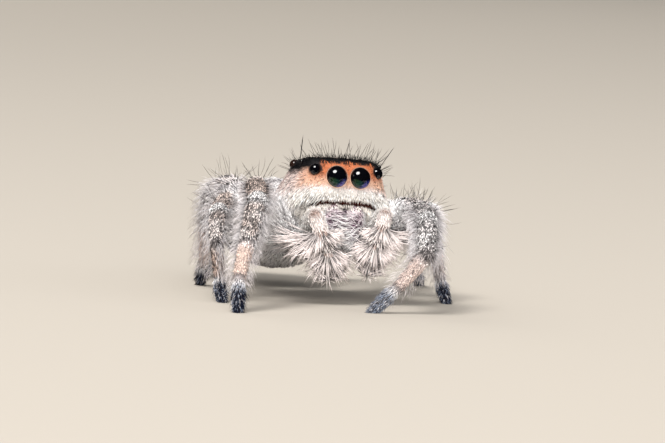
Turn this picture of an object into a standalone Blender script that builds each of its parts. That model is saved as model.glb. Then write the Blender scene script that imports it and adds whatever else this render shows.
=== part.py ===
"""Jumping spider standing at rest, as a still model at life size.

The spider faces -Y, its left side is +X and it stands on z = 0.
All sizes and poses below are in millimetres; the meshes are made in metres.
"""
import math

import bmesh
import bpy
from mathutils import Matrix, Vector

MM = 0.001
GAP = 0.04                    # clearance between neighbouring solids
CUT_GAP = 0.05                # clearance round a piece seated in the shell
SIDES = 12                    # facets round a limb
LEG_NUMBERS = (1, 2, 3, 4)

# The fore body is modelled level, with y measured back from the face,
# then pitched nose up, rolled and lifted on its legs.
PITCH = 8.0
ROLL = 3.0
ROLL_HEIGHT = 1.5
LIFT = 2.41

# Shell stations: (y, top, half width of the top, half width, edge height, underside height)
SHELL = (
    (0.14, 3.48, 1.00, 1.12, 2.10, 2.10),
    (0.28, 3.66, 1.27, 1.45, 2.02, 2.02),
    (0.52, 3.80, 1.49, 1.75, 1.92, 2.02),
    (0.90, 3.90, 1.64, 2.02, 1.74, 2.02),
    (1.34, 3.95, 1.72, 2.18, 1.58, 1.98),
    (1.56, 3.96, 1.75, 2.24, 1.52, 0.98),
    (2.20, 3.95, 1.78, 2.36, 1.44, 0.94),
    (3.20, 3.72, 1.62, 2.45, 1.34, 0.94),
    (4.10, 3.12, 1.30, 2.36, 1.26, 0.94),
    (5.00, 2.34, 1.00, 2.00, 1.16, 0.92),
    (5.70, 1.78, 0.72, 1.40, 1.00, 0.80),
    (6.10, 1.50, 0.46, 0.72, 0.86, 0.68),
)

# Eyes on the level fore body: (x, y, z, radius)
EYES = {
    "eye_ame": (0.515, 0.20, 2.95, 0.47),
    "eye_ale": (1.37, 0.45, 3.22, 0.245),
    "eye_pme": (1.73, 1.20, 3.58, 0.09),
    "eye_ple": (1.74, 2.10, 3.52, 0.22),
}

# Sternum and lip: (y, half width, bottom, top)
STERNUM = (
    (1.62, 0.28, 0.22, 0.80),
    (2.00, 0.55, 0.02, 0.86),
    (2.80, 0.78, -0.08, 0.88),
    (3.80, 0.74, -0.06, 0.88),
    (4.50, 0.48, 0.05, 0.84),
    (4.80, 0.26, 0.20, 0.76),
)

# Jaws: (z, centre x, centre y, half width, half depth)
JAW = (
    (1.95, 0.50, 0.74, 0.42, 0.36),
    (1.55, 0.48, 0.71, 0.44, 0.38),
    (0.95, 0.46, 0.70, 0.42, 0.36),
    (0.40, 0.44, 0.69, 0.38, 0.34),
    (0.12, 0.45, 0.72, 0.30, 0.28),
)
FANG_LENGTH = 0.50
FANG_RADIUS = 0.25

# Leg segment lengths: coxa, femur, patella, tibia, metatarsus, tarsus
LENGTHS = {
    1: (1.4, 2.9, 1.9, 2.1, 1.8, 1.3),
    2: (1.4, 2.6, 1.6, 1.8, 1.6, 1.2),
    3: (1.4, 2.7, 1.4, 1.7, 1.9, 1.2),
    4: (1.4, 3.4, 1.7, 2.4, 2.5, 1.3),
}
# Leg radii at the joints, coat included
RADII = {
    1: (0.34, 0.46, 0.56, 0.74, 0.70, 0.50, 0.30),
    2: (0.33, 0.46, 0.54, 0.60, 0.54, 0.42, 0.28),
    3: (0.33, 0.45, 0.48, 0.46, 0.40, 0.34, 0.27),
    4: (0.33, 0.47, 0.50, 0.48, 0.42, 0.35, 0.27),
}
HIP_X = 0.85
HIP_Z = 0.45
HIP_Y = {1: 1.90, 2: 2.75, 3: 3.60, 4: 4.40}
SOCKET_Y = {1: 2.15, 2: 2.93, 3: 3.68, 4: 4.42}

# Each leg's pose: (azimuth, elevation) of its six segments, in degrees.
# Azimuth 0 points forward and 90 outward; elevation is up.
POSE = {
    "r1": ((65, 5), (65, 46), (15, -15), (34, -50), (34, -54), (17, -64)),
    "r2": ((82, 5), (118, 32), (30, -13), (19, -42), (210, -67), (7, -45)),
    "r3": ((100, 5), (140, 48), (162, -8), (181, -64), (186, -67), (189, -51)),
    "r4": ((118, 5), (165, 37), (173, -11), (188, -38), (198, -44), (204, -37)),
    "l1": ((65, 5), (15, 28), (-10, -9), (-20, -38), (-121, -50), (-109, -45)),
    "l2": ((82, 5), (133, 30), (31, -3), (-10, -45), (116, -76), (-1, -43)),
    "l3": ((100, 5), (137, 26), (138, -8), (137, -39), (152, -55), (149, -33)),
    "l4": ((118, 5), (148, 44), (173, 0), (175, -37), (174, -67), (174, -39)),
}

# Palps: joint places as (distance from the midline, y, z) and radii, then how much wider
# than deep the fan of hair makes each joint, outward and inward
PALPS = {
    "r": (((0.68, 1.53, 2.85), 0.25), ((1.54, 0.94, 3.15), 0.30), ((1.58, -0.16, 3.75), 0.42),
          ((1.38, -0.38, 3.08), 0.47), ((1.08, -0.40, 2.30), 0.54), ((0.93, -0.16, 1.20), 0.42)),
    "l": (((0.68, 1.50, 2.84), 0.25), ((1.28, 0.88, 3.18), 0.27), ((1.50, -0.16, 3.80), 0.37),
          ((1.32, -0.42, 3.25), 0.46), ((1.02, -0.44, 2.60), 0.52), ((0.84, -0.18, 1.38), 0.42)),
}
PALP_FAN = ((1.0, 1.0), (1.0, 1.0), (1.0, 1.0), (1.6, 1.55), (2.3, 1.85), (2.2, 1.75))

# Waist and hind body, on the floor's own axes
WAIST = ((6.00, 2.56), (6.98, 2.50))
WAIST_RADIUS = 0.34
# Hind body stations: (y, centre height, half width, half height)
HIND_BODY = (
    (7.02, 2.50, 0.46, 0.50),
    (7.20, 2.54, 1.00, 0.96),
    (7.65, 2.60, 1.62, 1.44),
    (8.40, 2.66, 2.12, 1.82),
    (9.40, 2.68, 2.36, 2.00),
    (10.5, 2.66, 2.38, 2.02),
    (11.6, 2.60, 2.18, 1.88),
    (12.6, 2.50, 1.76, 1.56),
    (13.4, 2.38, 1.20, 1.12),
    (13.9, 2.28, 0.68, 0.66),
    (14.05, 2.25, 0.46, 0.44),
)
SPINNERETS = ((14.10, 2.24, 0.40), (14.40, 2.20, 0.36), (14.72, 2.16, 0.26))


def placed(point):
    """Carry a point of the level fore body to its place above the floor."""
    x, y, z = point
    c, s = math.cos(math.radians(PITCH)), math.sin(math.radians(PITCH))
    y, z = y * c + z * s, z * c - y * s
    c, s = math.cos(math.radians(ROLL)), math.sin(math.radians(ROLL))
    rise = z - ROLL_HEIGHT
    return Vector((x * c + rise * s, y, rise * c - x * s + ROLL_HEIGHT + LIFT))


def heading(azimuth, elevation, side):
    """Unit direction of a limb segment; side is 1 for left and -1 for right."""
    a, e = math.radians(azimuth), math.radians(elevation)
    return Vector((side * math.sin(a) * math.cos(e), -math.cos(a) * math.cos(e), math.sin(e)))


def coat(name, colour, roughness, metallic=0.0):
    """Plain Principled material for one piece."""
    material = bpy.data.materials.new(name)
    material.use_nodes = True
    shader = material.node_tree.nodes["Principled BSDF"]
    shader.inputs["Base Color"].default_value = (*colour, 1.0)
    shader.inputs["Roughness"].default_value = roughness
    shader.inputs["Metallic"].default_value = metallic
    material.diffuse_color = (*colour, 1.0)
    return material


def add(name, bm, colour, roughness=0.8, metallic=0.0):
    """Scale a millimetre bmesh to metres and link it as a named, smooth object."""
    bmesh.ops.scale(bm, vec=(MM, MM, MM), verts=bm.verts)
    bmesh.ops.recalc_face_normals(bm, faces=bm.faces)
    mesh = bpy.data.meshes.new(name)
    bm.to_mesh(mesh)
    bm.free()
    mesh.shade_smooth()
    mesh.set_sharp_from_angle(angle=math.radians(50))
    mesh.materials.append(coat(name, colour, roughness, metallic))
    piece = bpy.data.objects.new(name, mesh)
    bpy.context.scene.collection.objects.link(piece)
    return piece


def loft(rings):
    """Skin a closed body through rings that have equal numbers of points."""
    bm = bmesh.new()
    loops = [[bm.verts.new(point) for point in ring] for ring in rings]
    for low, high in zip(loops, loops[1:]):
        for i in range(len(low)):
            j = (i + 1) % len(low)
            bm.faces.new((low[i], low[j], high[j], high[i]))
    bm.faces.new(loops[0][::-1])
    bm.faces.new(loops[-1])
    return bm


def tube(stations, sides=SIDES, across=None, fan=()):
    """Loft of round rings; each station is (centre, axis, radius).

    fan widens each ring along across, with a factor for either way along it.
    """
    across = across or stations[0][1].orthogonal()
    fan = fan or [(1.0, 1.0)] * len(stations)
    turns = [2 * math.pi * i / sides for i in range(sides)]
    rings = []
    for (centre, axis, radius), (ahead, behind) in zip(stations, fan):
        axis = axis.normalized()
        across = (across - axis * across.dot(axis)).normalized()
        other = axis.cross(across)
        ring = []
        for t in turns:
            wide = ahead if math.cos(t) > 0 else behind
            ring.append(centre + (across * wide * math.cos(t) + other * math.sin(t)) * radius)
        rings.append(ring)
    return loft(rings)


def span(start, end, startAxis, endAxis, startRadius, endRadius, swell, count):
    """Stations between two slanted joint planes, swelling in the middle."""
    run = end - start
    length = run.length
    run.normalize()

    def reach(axis, radius):
        cosine = max(0.2, abs(run.dot(axis.normalized())))
        return radius * math.sqrt(max(0.0, 1 - cosine * cosine)) / cosine / length

    low = reach(startAxis, startRadius) + 0.05
    high = 1 - reach(endAxis, endRadius) - 0.05
    if high <= low:
        low, high, count = 0.5, 0.5, 1
    stations = []
    for i in range(count):
        f = low + (high - low) * (i / (count - 1) if count > 1 else 0.5)
        radius = startRadius + (endRadius - startRadius) * f + swell * math.sin(math.pi * f)
        stations.append((start + run * length * f, run, radius))
    return stations


def joints(points):
    """Directions of a chain's segments and the slanted plane's axis at each joint."""
    runs = [(b - a).normalized() for a, b in zip(points, points[1:])]
    planes = [runs[0]]
    planes += [(a + b).normalized() for a, b in zip(runs, runs[1:])]
    planes.append(runs[-1])
    return runs, planes


def legPoints(side, number):
    """Hip, coxa end, knee, patella end, tibia end, metatarsus end and toe."""
    key = ("l" if side > 0 else "r") + str(number)
    points = [placed((side * HIP_X, HIP_Y[number], HIP_Z))]
    for (azimuth, elevation), length in zip(POSE[key], LENGTHS[number]):
        points.append(points[-1] + heading(azimuth, elevation, side) * length)
    points[0] = placed((side * HIP_X, SOCKET_Y[number], HIP_Z))
    return points


def femur(side, number, extra=0.0):
    """Coxa and femur as one body; extra swells it into a cutter."""
    points = legPoints(side, number)
    radii = [r + extra for r in RADII[number]]
    runs, planes = joints(points)
    out = placed((side, 0, 0)) - placed((0, 0, 0))
    stations = [(points[0] - out * extra, out, radii[0])]
    stations += span(points[0], points[1], out, planes[1], radii[0], radii[1], 0.0, 1)
    stations.append((points[1], planes[1], radii[1]))
    stations += span(points[1], points[2], planes[1], planes[2], radii[1], radii[2], 0.06, 3)
    stations.append((points[2] - planes[2] * GAP / 2, planes[2], radii[2] * 0.97))
    return tube(stations)


def shin(side, number):
    """Patella and tibia as one body."""
    points = legPoints(side, number)
    radii = RADII[number]
    planes = joints(points)[1]
    stations = [(points[2] + planes[2] * GAP / 2, planes[2], radii[2] * 0.97)]
    stations += span(points[2], points[3], planes[2], planes[3], radii[2], radii[3], 0.02, 2)
    stations.append((points[3], planes[3], radii[3] * 0.96))
    stations += span(points[3], points[4], planes[3], planes[4], radii[3], radii[4], 0.05, 2)
    stations.append((points[4] - planes[4] * GAP / 2, planes[4], radii[4]))
    return tube(stations)


def metatarsus(side, number):
    points = legPoints(side, number)
    radii = RADII[number]
    planes = joints(points)[1]
    stations = [(points[4] + planes[4] * GAP / 2, planes[4], radii[4])]
    stations += span(points[4], points[5], planes[4], planes[5], radii[4], radii[5], 0.0, 2)
    stations.append((points[5] - planes[5] * GAP / 2, planes[5], radii[5]))
    return tube(stations)


def tarsus(side, number):
    """Foot segment with a round toe, cut flat where it stands on the floor."""
    points = legPoints(side, number)
    radii = RADII[number]
    runs, planes = joints(points)
    stations = [(points[5] + planes[5] * GAP / 2, planes[5], radii[5])]
    stations += span(points[5], points[6], planes[5], planes[6], radii[5], radii[6], 0.02, 2)
    for forward, shrink in ((0.10, 0.96), (0.18, 0.80), (0.25, 0.50)):
        stations.append((points[6] + runs[5] * radii[6] * forward * 4, runs[5], radii[6] * shrink))
    bm = tube(stations)
    cut = bmesh.ops.bisect_plane(
        bm, geom=bm.verts[:] + bm.edges[:] + bm.faces[:], dist=1e-6,
        plane_co=(0, 0, 0), plane_no=(0, 0, 1), clear_inner=True)
    rim = [item for item in cut["geom_cut"] if isinstance(item, bmesh.types.BMEdge)]
    bmesh.ops.holes_fill(bm, edges=rim, sides=0)
    return bm


def palpPoints(side):
    return [(Vector((side * x, y, z)), r) for (x, y, z), r in PALPS["l" if side > 0 else "r"]]


def palpPart(side, first, last, swell, extra=0.0):
    """One palp body between two joints, through those between them."""
    chain = palpPoints(side)
    points = [point for point, radius in chain]
    planes = joints(points)[1]
    stations = []
    fan = []
    for i in range(first, last + 1):
        place, radius = chain[i]
        if i == first:
            place = place + planes[i] * GAP / 2
        if i == last and last < len(chain) - 1:
            place = place - planes[i] * GAP / 2
        stations.append((place, planes[i], radius + extra))
        fan.append(PALP_FAN[i])
        if i < last:
            stations += span(chain[i][0], chain[i + 1][0], planes[i], planes[i + 1],
                             radius + extra, chain[i + 1][1] + extra, swell, 1)
            fan.append([(a + b) / 2 for a, b in zip(PALP_FAN[i], PALP_FAN[i + 1])])
    if last == len(chain) - 1:
        tip, radius = chain[-1]
        stations.append((tip + planes[-1] * 0.16, planes[-1], radius * 0.66))
        fan.append(PALP_FAN[-1])
    return tube(stations, SIDES, Vector((side, 0, 0)), fan)


def shellRing(station):
    """Cross-section of the shell, an arch with a raised edge over the legs."""
    y, top, topHalf, half, edge, under = station
    fall = top - edge
    inner = min(0.9, half * 0.6)
    right = [
        (0.0, top),
        (topHalf * 0.50, top - 0.02),
        (topHalf * 0.84, top - 0.06),
        (topHalf, top - 0.22),
        (topHalf + (half - topHalf) * 0.55, top - fall * 0.40),
        (topHalf + (half - topHalf) * 0.92, top - fall * 0.72),
        (half, edge + 0.12),
        (half - 0.10, edge),
        (inner, under),
    ]
    left = [(-x, z) for x, z in right[:0:-1]]
    return [placed((x, y, z)) for x, z in right + left]


def ball(centre, radius, longitudes, latitudes, axis=Vector((0, 0, 1))):
    bm = bmesh.new()
    turn = Vector((0, 0, 1)).rotation_difference(axis).to_matrix().to_4x4()
    bmesh.ops.create_uvsphere(bm, u_segments=longitudes, v_segments=latitudes, radius=radius,
                              matrix=Matrix.Translation(centre) @ turn)
    return bm


def carve(target, name, bm):
    """Subtract a hidden cutter from a piece."""
    cutter = add(name, bm, (0.5, 0.5, 0.5))
    cutter.hide_render = True
    cutter.hide_viewport = True
    cutter.display_type = "WIRE"
    cut = target.modifiers.new(name, "BOOLEAN")
    cut.operation = "DIFFERENCE"
    cut.solver = "EXACT"
    cut.object = cutter


def makeForeBody():
    """Shell with eye sockets and leg recesses, eyes, sternum, jaws and fangs."""
    shell = add("carapace", loft([shellRing(s) for s in SHELL]), (0.86, 0.66, 0.56))
    for name, (x, y, z, radius) in EYES.items():
        segments = (16, 10) if radius > 0.4 else (12, 8) if radius > 0.15 else (8, 6)
        for side, letter in ((1, "l"), (-1, "r")):
            centre = placed((side * x, y, z))
            eye = f"{name}_{letter}"
            add(eye, ball(centre, radius, *segments), (0.01, 0.01, 0.015), 0.08)
            carve(shell, f"socket_{eye}", ball(centre, radius + CUT_GAP, *segments))
    for side, letter in ((1, "l"), (-1, "r")):
        for number in LEG_NUMBERS:
            carve(shell, f"recess_{letter}{number}", femur(side, number, CUT_GAP))
        carve(shell, f"recess_palp_{letter}", palpPart(side, 0, 2, 0.0, CUT_GAP))
    carve(shell, "recess_waist", waist(CUT_GAP))

    rings = []
    for y, half, bottom, top in STERNUM:
        middle = (top + bottom) / 2
        rise = (top - bottom) / 2
        turns = [2 * math.pi * i / SIDES for i in range(SIDES)]
        rings.append([placed((half * math.cos(t), y, middle + rise * math.sin(t))) for t in turns])
    add("sternum", loft(rings), (0.10, 0.07, 0.06))

    for side, letter in ((1, "l"), (-1, "r")):
        rings = []
        for z, x, y, half, depth in JAW:
            turns = [2 * math.pi * i / SIDES for i in range(SIDES)]
            rings.append([placed((side * (x + half * math.cos(t)), y + depth * math.sin(t), z))
                          for t in turns])
        add(f"chelicera_{letter}", loft(rings), (0.42, 0.20, 0.34), 0.35, 0.3)
        root = placed((side * 0.45, 0.72, 0.12 - GAP))
        inward = (placed((side * 0.16, 0.78, -0.30)) - root).normalized()
        down = (placed((0, 0, -1)) - placed((0, 0, 0))).normalized()
        add(f"fang_{letter}", tube([
            (root, down, FANG_RADIUS),
            (root + down * FANG_LENGTH * 0.45, (down + inward * 0.5), FANG_RADIUS * 0.8),
            (root + down * FANG_LENGTH * 0.6 + inward * FANG_LENGTH * 0.4, inward, FANG_RADIUS * 0.4),
        ], 8), (0.10, 0.03, 0.02), 0.3)


def makePalps():
    for side, letter in ((1, "l"), (-1, "r")):
        add(f"palp_{letter}_femur", palpPart(side, 0, 2, 0.03), (0.86, 0.82, 0.74))
        add(f"palp_{letter}_tibia", palpPart(side, 2, 4, 0.03), (0.88, 0.85, 0.78))
        add(f"palp_{letter}_tarsus", palpPart(side, 4, 5, 0.03), (0.88, 0.85, 0.78))


def makeLegs():
    for side, letter in ((1, "l"), (-1, "r")):
        for number in LEG_NUMBERS:
            name = f"leg_{letter}{number}"
            add(f"{name}_femur", femur(side, number), (0.62, 0.55, 0.50))
            add(f"{name}_tibia", shin(side, number), (0.70, 0.64, 0.60))
            add(f"{name}_metatarsus", metatarsus(side, number), (0.78, 0.66, 0.62))
            add(f"{name}_tarsus", tarsus(side, number), (0.05, 0.05, 0.07))


def waist(extra=0.0):
    axis = Vector((0, 1, 0))
    ends = [Vector((0, y, z)) for y, z in WAIST]
    radius = WAIST_RADIUS + extra
    return tube([(ends[0] - axis * extra, axis, radius), (ends[1], axis, radius)])


def makeHindBody():
    add("pedicel", waist(), (0.10, 0.07, 0.06))
    axis = Vector((0, 1, 0))
    sides = 16
    rings = []
    for y, height, half, rise in HIND_BODY:
        turns = [2 * math.pi * i / sides for i in range(sides)]
        rings.append([(half * math.cos(t), y, height + rise * math.sin(t)) for t in turns])
    add("abdomen", loft(rings), (0.66, 0.60, 0.56))
    add("spinnerets", tube([(Vector((0, y, z)), axis, r) for y, z, r in SPINNERETS], 10),
        (0.12, 0.09, 0.08))


def centre():
    """Move everything so that the bounding box stands centred on the origin."""
    bpy.context.view_layer.update()
    solids = [o for o in bpy.data.objects if not o.hide_render]
    corners = [v.co for o in solids for v in o.data.vertices]
    low = Vector(min(c[i] for c in corners) for i in range(3))
    high = Vector(max(c[i] for c in corners) for i in range(3))
    shift = Vector((-(low.x + high.x) / 2, -(low.y + high.y) / 2, 0))
    for piece in bpy.data.objects:
        piece.data.transform(Matrix.Translation(shift))


for old in list(bpy.data.objects):
    bpy.data.objects.remove(old, do_unlink=True)
makeForeBody()
makePalps()
makeLegs()
makeHindBody()
centre()
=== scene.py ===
import math

import bmesh
import bpy
import numpy as np
from mathutils import Matrix, Vector, kdtree


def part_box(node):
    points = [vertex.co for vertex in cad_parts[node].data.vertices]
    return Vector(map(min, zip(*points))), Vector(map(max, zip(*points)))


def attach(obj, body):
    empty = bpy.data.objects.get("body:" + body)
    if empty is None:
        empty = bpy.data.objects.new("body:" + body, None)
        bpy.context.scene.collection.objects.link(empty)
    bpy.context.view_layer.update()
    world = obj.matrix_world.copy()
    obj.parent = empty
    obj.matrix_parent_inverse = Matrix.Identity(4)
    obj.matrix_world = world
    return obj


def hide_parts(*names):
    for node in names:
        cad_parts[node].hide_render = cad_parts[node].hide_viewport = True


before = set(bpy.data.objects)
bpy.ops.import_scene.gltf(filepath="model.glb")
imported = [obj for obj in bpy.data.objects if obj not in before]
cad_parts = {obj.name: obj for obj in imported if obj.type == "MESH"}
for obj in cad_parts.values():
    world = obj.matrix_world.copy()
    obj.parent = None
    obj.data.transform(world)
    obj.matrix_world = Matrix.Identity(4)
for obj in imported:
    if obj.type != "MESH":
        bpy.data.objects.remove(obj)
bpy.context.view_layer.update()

mm = 0.001
dice = np.random.default_rng(417)

# Sizes are in millimetres. The fore body is described level, with y measured back
# from the face and z up, and is then pitched, rolled and lifted on its legs.
stance = {"pitch": 8.0, "roll": 3.0, "rollHeight": 1.5, "lift": 2.41}


def unit(vectors):
    vectors = np.asarray(vectors, float)
    return vectors / np.maximum(np.linalg.norm(vectors, axis=-1, keepdims=True), 1e-9)


def dot(a, b):
    return (a * b).sum(axis=-1, keepdims=True)


def ease(value, start, end):  # 0 before start, 1 after end, smooth between
    t = np.clip((np.asarray(value, float) - start) / (end - start), 0, 1)
    return t * t * (3 - 2 * t)


def stanceTurn():
    c, s = math.cos(math.radians(stance["pitch"])), math.sin(math.radians(stance["pitch"]))
    tip = np.array(((1, 0, 0), (0, c, s), (0, -s, c)))
    c, s = math.cos(math.radians(stance["roll"])), math.sin(math.radians(stance["roll"]))
    lean = np.array(((c, 0, s), (0, 1, 0), (-s, 0, c)))
    return tip, lean


tipTurn, leanTurn = stanceTurn()
pivot = np.array((0.0, 0.0, stance["rollHeight"]))
raised = np.array((0.0, 0.0, stance["lift"]))


def placed(points):  # from the level fore body to the standing one
    return (np.asarray(points, float) @ tipTurn.T - pivot) @ leanTurn.T + pivot + raised


def levelled(points):  # and back again
    return ((np.asarray(points, float) - raised - pivot) @ leanTurn + pivot) @ tipTurn


def turned(vectors):  # the same turn for a direction
    return np.asarray(vectors, float) @ tipTurn.T @ leanTurn.T


eyes = {  # x, y, z, radius
    "ame": (0.515, 0.20, 2.95, 0.47),
    "ale": (1.37, 0.45, 3.22, 0.245),
    "pme": (1.73, 1.20, 3.58, 0.09),
    "ple": (1.74, 2.10, 3.52, 0.22),
}
eyeAims = {  # where each eye looks, on the level fore body
    "ame": (0.05, -1, 0.02),
    "ale": (0.42, -0.9, 0.12),
    "pme": (0.9, -0.2, 0.4),
    "ple": (0.9, 0.15, 0.35),
}


def eyeSeat(name, side):  # an eye's direction, its centre and a direction across it, on the floor's axes
    x, y, z = eyeAims[name]
    look = unit(turned((side * x, y, z)))
    x, y, z = eyes[name][:3]
    return look, placed((side * x, y, z)), unit(np.cross(look, (0.0, 0.0, 1.0)))


low, high = (np.array(corner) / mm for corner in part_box("eye_ame_l"))
shift = (low + high) / 2 - placed(eyes["ame"][:3])  # the frame is centred on the part's box
shift[2] = 0

# The camera, the lamps and the floor
view = {"azimuth": -19.0, "elevation": 4.0, "roll": 2.1, "distance": 200.0, "frameWidth": 27.93,
        "left": 0.65, "below": 1.84}  # the view's middle, measured from between the front eyes


def cameraAxes():
    a, e = math.radians(view["azimuth"]), math.radians(view["elevation"])
    back = np.array((math.sin(a) * math.cos(e), -math.cos(a) * math.cos(e), math.sin(e)))
    across = np.array((math.cos(a), math.sin(a), 0.0))
    up = np.cross(back, across)
    c, s = math.cos(math.radians(view["roll"])), math.sin(math.radians(view["roll"]))
    return across * c + up * s, up * c - across * s, back


def aimAt(item, place, right, up, back):
    matrix = Matrix([Vector(axis) for axis in (right, up, back)]).transposed().to_4x4()
    matrix.translation = Vector(place) * mm
    item.matrix_world = matrix


right, up, back = cameraAxes()
faceMiddle = placed((0, eyes["ame"][1], eyes["ame"][2])) + shift
viewMiddle = faceMiddle - right * view["left"] - up * view["below"]
camera = bpy.data.objects.new("camera", bpy.data.cameras.new("camera"))
camera.data.sensor_width = 36
camera.data.lens = 36 * view["distance"] / view["frameWidth"]
camera.data.clip_start = 0.01
camera.data.clip_end = 20
bpy.context.scene.collection.objects.link(camera)
aimAt(camera, viewMiddle + back * view["distance"], right, up, back)
bpy.context.scene.camera = camera

lamps = {  # "from" is a direction along the camera's right, up and back; "gloss" shows the lamp in the eyes
    "key": {"from": (-0.24, 0.83, 0.50), "distance": 620, "size": 360, "power": 6.0,
            "tint": (1.0, 0.98, 0.96), "gloss": True},
    "front": {"from": (0.10, 0.16, 0.98), "distance": 800, "size": 420, "power": 6.8,
              "tint": (1.0, 0.98, 0.97), "gloss": False},
    "side": {"from": (0.85, 0.35, 0.45), "distance": 800, "size": 500, "power": 1.6,
             "tint": (0.93, 0.96, 1.0), "gloss": False},
    "rear": {"from": (-0.45, 0.60, -0.75), "distance": 800, "size": 500, "power": 3.0,
             "tint": (1.0, 0.96, 0.90), "gloss": False},
}
studio = {"sky": (0.91, 0.92, 0.94), "skyStrength": 0.72, "floor": (157, 150, 140), "floorRadius": 4.0}


def hangLamp(name, lamp):
    data = bpy.data.lights.new(name, "AREA")
    data.shape = "DISK"
    data.size = lamp["size"] * mm
    data.energy = lamp["power"]
    data.color = lamp["tint"]
    item = bpy.data.objects.new(name, data)
    item.visible_camera = False
    item.visible_glossy = lamp["gloss"]
    bpy.context.scene.collection.objects.link(item)
    toward = unit(np.array(lamp["from"]) @ np.array((right, up, back)))
    sideways = unit(np.cross((0.0, 0.0, 1.0), toward))
    aimAt(item, faceMiddle + toward * lamp["distance"], sideways, np.cross(toward, sideways), toward)


for name, lamp in lamps.items():
    hangLamp(name, lamp)

world = bpy.data.worlds.new("studio")
bpy.context.scene.world = world
world.use_nodes = True
sky = world.node_tree.nodes["Background"].inputs
sky["Color"].default_value = (*studio["sky"], 1)
sky["Strength"].default_value = studio["skyStrength"]
world.cycles_visibility.glossy = False  # the eyes mirror only the key lamp
bpy.context.scene.view_settings.view_transform = "Standard"


def paint(red, green, blue):  # a colour on the 0-255 scale to the linear one shaders use
    c = np.array((red, green, blue), float) / 255
    return np.where(c <= 0.04045, c / 12.92, ((c + 0.055) / 1.055) ** 2.4)


def layFloor():
    bm = bmesh.new()
    bmesh.ops.create_circle(bm, cap_ends=True, segments=96, radius=studio["floorRadius"])
    mesh = bpy.data.meshes.new("floor")
    bm.to_mesh(mesh)
    bm.free()
    floor = bpy.data.objects.new("floor", mesh)
    bpy.context.scene.collection.objects.link(floor)
    finish = bpy.data.materials.new("floorPaper")
    finish.use_nodes = True
    shader = finish.node_tree.nodes["Principled BSDF"]
    shader.inputs["Base Color"].default_value = (*paint(*studio["floor"]), 1)
    shader.inputs["Roughness"].default_value = 0.9
    mesh.materials.append(finish)
    floor.visible_glossy = False


layFloor()
print("camera, lamps and floor are set")

# The body's measurements, the same as the solids' where both have them
foreBody = {  # stations back from the face
    "y": (0.14, 0.28, 0.52, 0.90, 1.34, 1.60, 2.20, 3.20, 4.10, 5.00, 5.70, 6.10),
    "top": (3.48, 3.66, 3.80, 3.90, 3.95, 3.96, 3.95, 3.72, 3.12, 2.34, 1.78, 1.50),
    "topHalf": (1.00, 1.27, 1.49, 1.64, 1.72, 1.75, 1.78, 1.62, 1.30, 1.00, 0.72, 0.46),
    "half": (1.12, 1.45, 1.75, 2.02, 2.18, 2.25, 2.36, 2.45, 2.36, 2.00, 1.40, 0.72),
    "edge": (2.10, 2.02, 1.92, 1.74, 1.58, 1.51, 1.44, 1.34, 1.26, 1.16, 1.00, 0.86),
    "under": (2.10, 2.02, 2.02, 2.02, 1.70, 1.00, 0.82, 0.82, 0.82, 0.82, 0.76, 0.68),
    "coatDepth": 0.10,
}
sternum = {
    "y": (1.35, 2.00, 2.80, 3.80, 4.60, 5.10),
    "half": (0.34, 0.60, 0.80, 0.76, 0.56, 0.30),
    "low": (0.34, 0.10, 0.00, 0.02, 0.14, 0.34),
    "high": (1.20, 1.20, 1.20, 1.20, 1.15, 1.00),
}
hindBody = {  # on the floor's axes
    "y": (7.00, 7.20, 7.65, 8.40, 9.40, 10.5, 11.6, 12.6, 13.4, 13.9, 14.3, 14.62),
    "centre": (2.50, 2.54, 2.60, 2.66, 2.68, 2.66, 2.60, 2.50, 2.38, 2.28, 2.22, 2.18),
    "half": (0.46, 1.00, 1.62, 2.12, 2.36, 2.38, 2.18, 1.76, 1.20, 0.68, 0.42, 0.26),
    "rise": (0.50, 0.96, 1.44, 1.82, 2.00, 2.02, 1.88, 1.56, 1.12, 0.66, 0.40, 0.24),
    "coatDepth": 0.17,
}
waist = {"start": (0, 5.9, 2.60), "end": (0, 7.2, 2.50), "radius": 0.30}
legs = {  # coxa, femur, patella, tibia, metatarsus, tarsus
    "lengths": {1: (1.4, 2.9, 1.9, 2.1, 1.8, 1.3), 2: (1.4, 2.6, 1.6, 1.8, 1.6, 1.2),
                3: (1.4, 2.7, 1.4, 1.7, 1.9, 1.2), 4: (1.4, 3.4, 1.7, 2.4, 2.5, 1.3)},
    "flesh": {1: (0.30, 0.40, 0.44, 0.43, 0.34, 0.25, 0.19), 2: (0.30, 0.40, 0.41, 0.38, 0.29, 0.22, 0.18),
              3: (0.30, 0.38, 0.39, 0.35, 0.27, 0.20, 0.16), 4: (0.30, 0.39, 0.41, 0.36, 0.28, 0.21, 0.16)},
    "hip": {1: (1.90, 2.15), 2: (2.75, 2.93), 3: (3.60, 3.68), 4: (4.40, 4.42)},
    "hipX": 0.85, "hipZ": 0.45, "toe": 0.12,
    "swell": (0.0, 0.07, 0.03, 0.03, 0.0, 0.03),
}
pose = {  # azimuth from straight ahead and elevation of each segment, in degrees
    "r1": ((65, 5), (65, 46), (15, -15), (34, -50), (34, -54), (17, -64)),
    "r2": ((82, 5), (118, 32), (30, -13), (19, -42), (210, -67), (7, -45)),
    "r3": ((100, 5), (140, 48), (162, -8), (181, -64), (186, -67), (189, -51)),
    "r4": ((118, 5), (165, 37), (173, -11), (188, -38), (198, -44), (204, -37)),
    "l1": ((65, 5), (15, 28), (-10, -9), (-20, -38), (-121, -50), (-109, -45)),
    "l2": ((82, 5), (133, 30), (31, -3), (-10, -45), (116, -76), (-1, -43)),
    "l3": ((100, 5), (137, 26), (138, -8), (137, -39), (152, -55), (149, -33)),
    "l4": ((118, 5), (148, 44), (173, 0), (175, -37), (174, -67), (174, -39)),
}
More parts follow.
